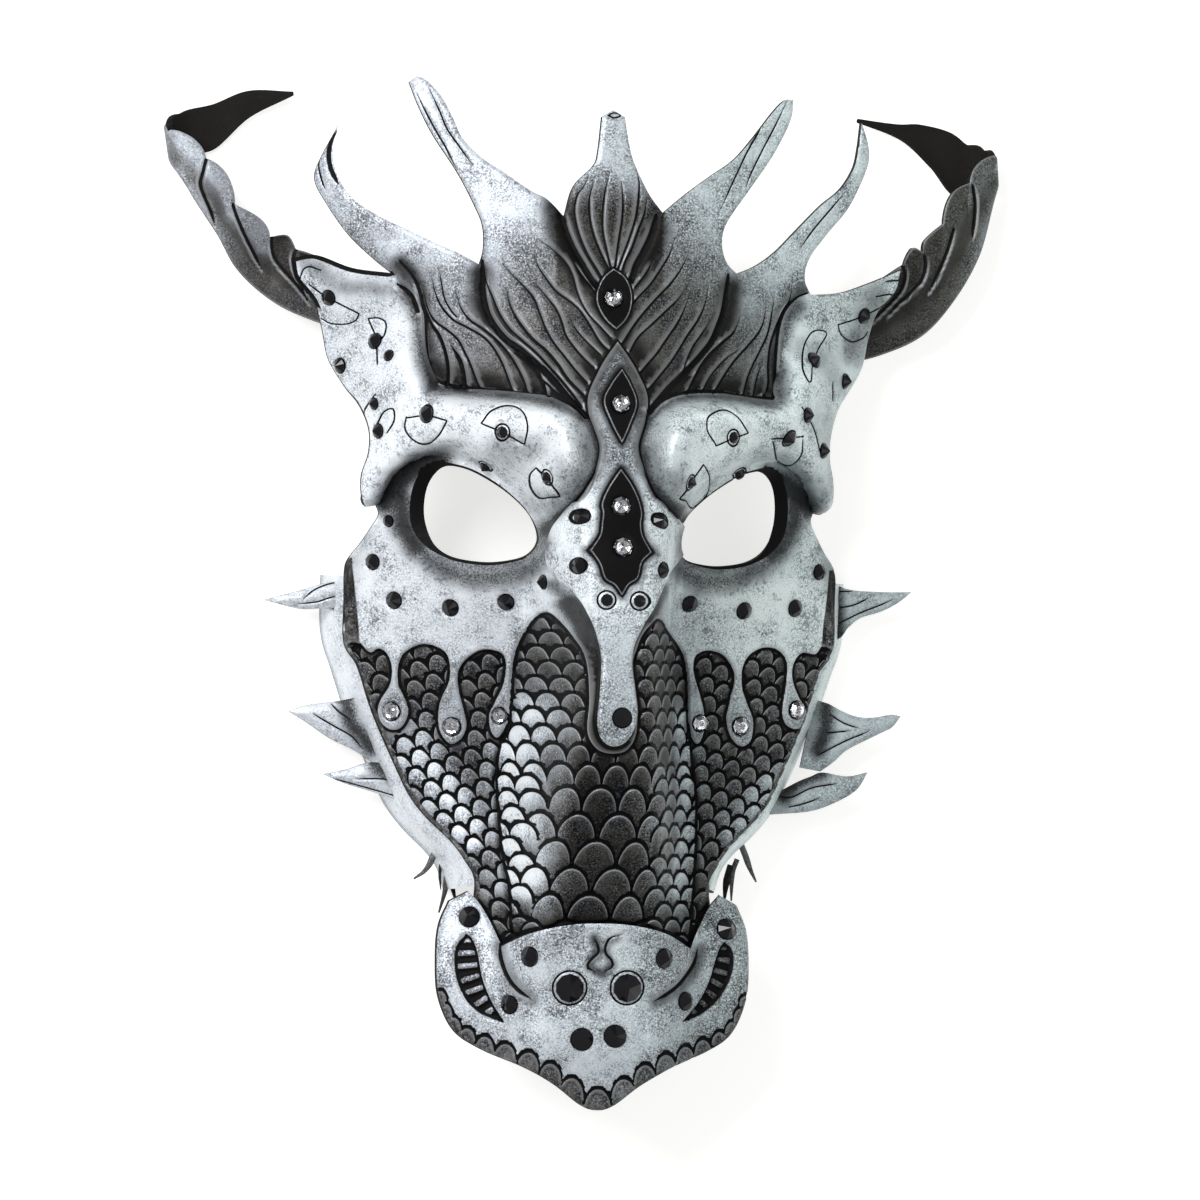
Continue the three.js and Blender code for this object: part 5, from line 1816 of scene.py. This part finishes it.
def band(side):
    """Jaw band that stands behind the cheek, from the hide down to the ground."""
    edge = smooth_line(JAW_RUN, 0.75)
    place = np.linspace(0, len(JAW_SECTION) - 1, 31)
    reach = along([[i, r] for i, (r, _) in enumerate(JAW_SECTION)], place)
    share = along([[i, h] for i, (_, h) in enumerate(JAW_SECTION)], place)
    wall = smooth(0, 4, place)  # from flat under the hide to upright
    open_share = smooth(0.8, 1.7, place)  # from close under the hide to free of it
    heading = np.gradient(edge, axis=0)
    heading /= np.hypot(*heading.T)[:, None]
    out = np.column_stack([heading[:, 1], -heading[:, 0]])
    x, y = edge.T
    height = (hide_under(x, y) - GLUE * steepness(x, y))[:, None]
    layers = []
    for inwards in (0, 1):
        p = edge[:, None] + out[:, None] * (reach - inwards * STRAP * wall)[None, :, None]
        tucked = hide_under(p[:, :, 0], p[:, :, 1]) - GLUE * steepness(p[:, :, 0], p[:, :, 1])
        z = tucked + (height * share - tucked) * open_share
        z = np.maximum(z - inwards * STRAP * (1 - wall**2), 0)
        layers.append(np.dstack([side * p[:, :, 0], p[:, :, 1], z]))
    grain, flesh = layers
    work = bare(grain[:, :, 0].ravel(), grain[:, :, 1].ravel(), 0.88)
    work.tone -= 0.25 * np.tile(smooth(3.6, 5, place), len(edge))
    work.shade = np.tile(0.5 * smooth(1.3, 0.8, place), len(edge))
    return strap(grain, flesh, work)


def curl(pixels, width, tone):
    """A thin torn strip that hangs out behind the jaw."""
    line = smooth_line(on_level(pixels, CURL_LEVEL), 0.8)
    taper = width / 2 * clamp(np.linspace(1.6, 0.25, len(line)))
    loop = np.vstack([shifted(line, taper), shifted(line, -taper)[::-1]])
    return leaf(loop, lambda x, y: CURL_LEVEL + 0 * x, CURL_THICK, [], tone, None, 0.8)


def jaw(name, node, side, leaves, curls):
    """A jaw band with its three spikes and the torn strips at its lower end."""
    meshes = [band(side)]
    for (start, stop), outline, lines, dark in leaves:
        def level(pixels, z=(start + stop) / 2):
            return on_level(pixels, z)

        loop = smooth_loop(level(outline), 0.8, 45)
        root, tip = np.min(np.abs(loop[:, 0])), np.max(np.abs(loop[:, 0]))

        def top(x, y, start=start, stop=stop, root=root, tip=tip):
            return start + (stop - start) * (np.abs(x) - root) / (tip - root)

        cuts = [groove(p, 0.5, 0.4, 1, lip=0.3, fine=0.6, full=0.3, step=0.6, where=level)
                for p in lines]
        tone = LEAF_TONES[side > 0]
        meshes.append(leaf(loop, top, LEAF_THICK, cuts, tone, level(dark)))
    meshes += [curl(*values) for values in curls]
    piece = joined(name, *meshes)
    settle(piece, "jaw_leather", [node], grain_side(name + " paint", 0.3), FLESH)


def stone_finish():
    onyx, _, shader = material("black stone")
    shader.inputs["Base Color"].default_value = (0.006, 0.006, 0.008, 1)
    shader.inputs["Roughness"].default_value = 0.08
    shader.inputs["Specular IOR Level"].default_value = 0.35
    glass, _, shader = material("clear crystal")
    shader.inputs["Base Color"].default_value = (0.97, 0.98, 1, 1)
    shader.inputs["Roughness"].default_value = 0.02
    shader.inputs["Transmission Weight"].default_value = 1
    shader.inputs["IOR"].default_value = 1.54
    foils = []
    # Bright and dull copies of one foil, alternating over the facets: a painted sparkle of
    # reflected light.
    for word, grey in (("bright foil", 0.85), ("dull foil", 0.2)):
        foil, _, shader = material(word)
        shader.inputs["Base Color"].default_value = (grey, grey, grey * 1.03, 1)
        shader.inputs["Metallic"].default_value = 1
        shader.inputs["Roughness"].default_value = 0.12
        foils.append(foil)
    return [onyx], [glass, *foils]


def facets(bm, count, radius, top, rise, lift):
    """A cone of flat facets, with its base at a height."""
    made = bmesh.ops.create_cone(bm, cap_ends=True, segments=count, radius1=radius, radius2=top,
                                 depth=rise)["verts"]
    bmesh.ops.translate(bm, vec=(0, 0, rise / 2 + lift), verts=made)


def foot(bm, depth):
    """Sinks the flat underside of a stone into the leather."""
    base = [f for f in bm.faces if f.normal.z < -0.9]
    under = bmesh.ops.extrude_face_region(bm, geom=base)["geom"]
    moved = [v for v in under if isinstance(v, bmesh.types.BMVert)]
    bmesh.ops.translate(bm, vec=(0, 0, -depth), verts=moved)


def stud(bm, radius):
    """Black stone with a ring of facets that rise to a point."""
    facets(bm, 10, radius, 0.0, 0.8 * radius, 0.4 * MM)
    foot(bm, 0.7 * MM)


def crystal(bm, radius):
    """Clear stone with a flat top over eight facets, and a pleated foil inside it, bright and dull
    on alternate facets for a painted sparkle.
    """
    facets(bm, 8, radius, 0.52 * radius, 0.42 * radius, 0.5 * MM)
    foot(bm, 0.8 * MM)
    shell = len(bm.faces)
    facets(bm, 16, 0.93 * radius, 0.0, 0.3 * radius, 0.02 * MM)
    bm.faces.ensure_lookup_table()
    for i, side in enumerate(bm.faces[shell:]):
        side.material_index = 1 + (i * 7 % 3 == 0)


def set_stone(name, seat, levels, shape, slot, finishes):
    """One stone on its seat, square to the surface round it."""
    normal = Vector((-seat.slope[0], -seat.slope[1], 1)).normalized()
    ground, rise = levels
    spot = Vector((seat.x, seat.y, ground)) + normal * (rise + STONE_LIFT)
    bm = bmesh.new()
    shape(bm, seat.radius * MM)
    turn = Vector((0, 0, 1)).rotation_difference(normal).to_matrix().to_4x4()
    bm.transform(Matrix.Translation(spot * MM + ORIGIN) @ turn)
    bmesh.ops.recalc_face_normals(bm, faces=bm.faces[:])
    piece = placed(name, mesh_from(bm, shape.__name__))
    settle(piece, slot, [seat.node] if seat.node else [], *finishes)


def stones():
    """Every stone on the carved surface, as the finish of its sheet leaves it."""
    black, clear = stone_finish()
    sets = (("stud", STUD_SEATS, stud, "black_stone", black),
            ("crystal", CRYSTAL_SEATS, crystal, "clear_crystal", clear))
    for on_hide, height, finish in ((True, face, hide_finish), (False, plate_top, muzzle_finish)):
        for word, seats_of, shape, slot, finishes in sets:
            here = [(i, seat) for i, seat in enumerate(seats_of, 1) if seat.on_hide == on_hide]
            if not here:
                continue
            x = np.array([seat.x for _, seat in here])
            y = np.array([seat.y for _, seat in here])
            for (number, seat), z, rise in zip(here, height(x, y), finish(x, y).rise):
                name = f"{word}_set_{number:02d}"
                set_stone(name, seat, (z, rise), shape, slot, finishes)


face_hide()
muzzle_plate()
horn("horn_strip_left", "horn_left", HORN_LEFT, HORN_CUTS_LEFT, 0.36, SILVER_LEFT)
horn("horn_strip_right", "horn_right", HORN_RIGHT, HORN_CUTS_RIGHT, 0.27, SILVER_RIGHT)
jaw("jaw_band_left", "jaw_left", -1, LEAVES_LEFT, CURLS_LEFT)
jaw("jaw_band_right", "jaw_right", 1, LEAVES_RIGHT, CURLS_RIGHT)
stones()


# Surroundings, in metres
CAMERA_AWAY = 5.0
GROUND_HALF = 30
LIT_SPOT = (0, 0, 0.03)  # where both lights point


def camera():
    u_way = Vector((math.cos(TURN), 0, math.sin(TURN)))
    v_way = Vector((0, 1, 0))
    back = Vector((-math.sin(TURN), 0, math.cos(TURN)))
    right = u_way * math.cos(ROLL) + v_way * math.sin(ROLL)
    up = v_way * math.cos(ROLL) - u_way * math.sin(ROLL)
    wide = 2 * MIDDLE * PIXEL * MM
    target = ORIGIN + Vector((0, 0, RIM_Z * MM)) + right * (MIDDLE - CENTRE_COLUMN) * PIXEL * MM
    data = bpy.data.cameras.new("camera")
    data.sensor_width = 36
    data.lens = data.sensor_width * CAMERA_AWAY / wide
    made = placed("camera", data)
    turn = Matrix((right, up, back)).transposed().to_4x4()
    made.matrix_world = Matrix.Translation(target + back * CAMERA_AWAY) @ turn
    bpy.context.scene.camera = made


def light(name, place, size, power):
    data = bpy.data.lights.new(name, "AREA")
    data.size = size
    data.energy = power
    made = placed(name, data)
    made.location = place
    aim = Vector(LIT_SPOT) - Vector(place)
    made.rotation_euler = aim.to_track_quat("-Z", "Y").to_euler()


def surroundings():
    bm = bmesh.new()
    bmesh.ops.create_grid(bm, x_segments=2, y_segments=2, size=GROUND_HALF)
    floor = placed("floor", mesh_from(bm, "floor"))
    made, _, shader = material("white ground")
    shader.inputs["Base Color"].default_value = (0.6, 0.6, 0.59, 1)
    shader.inputs["Roughness"].default_value = 0.9
    shader.inputs["Emission Color"].default_value = (1, 1, 0.98, 1)
    shader.inputs["Emission Strength"].default_value = 0.72
    floor.data.materials.append(made)
    world = bpy.data.worlds.new("studio")
    world.use_nodes = True
    world.node_tree.nodes["Background"].inputs["Color"].default_value = (1, 1, 1, 1)
    world.node_tree.nodes["Background"].inputs["Strength"].default_value = 0.33
    bpy.context.scene.world = world
    light("window", (-0.8, 0.6, 1.25), 0.7, 21)
    light("fill", (0.9, 0.1, 1.2), 1.2, 4.5)
    bpy.context.scene.view_settings.view_transform = "Standard"


camera()
surroundings()
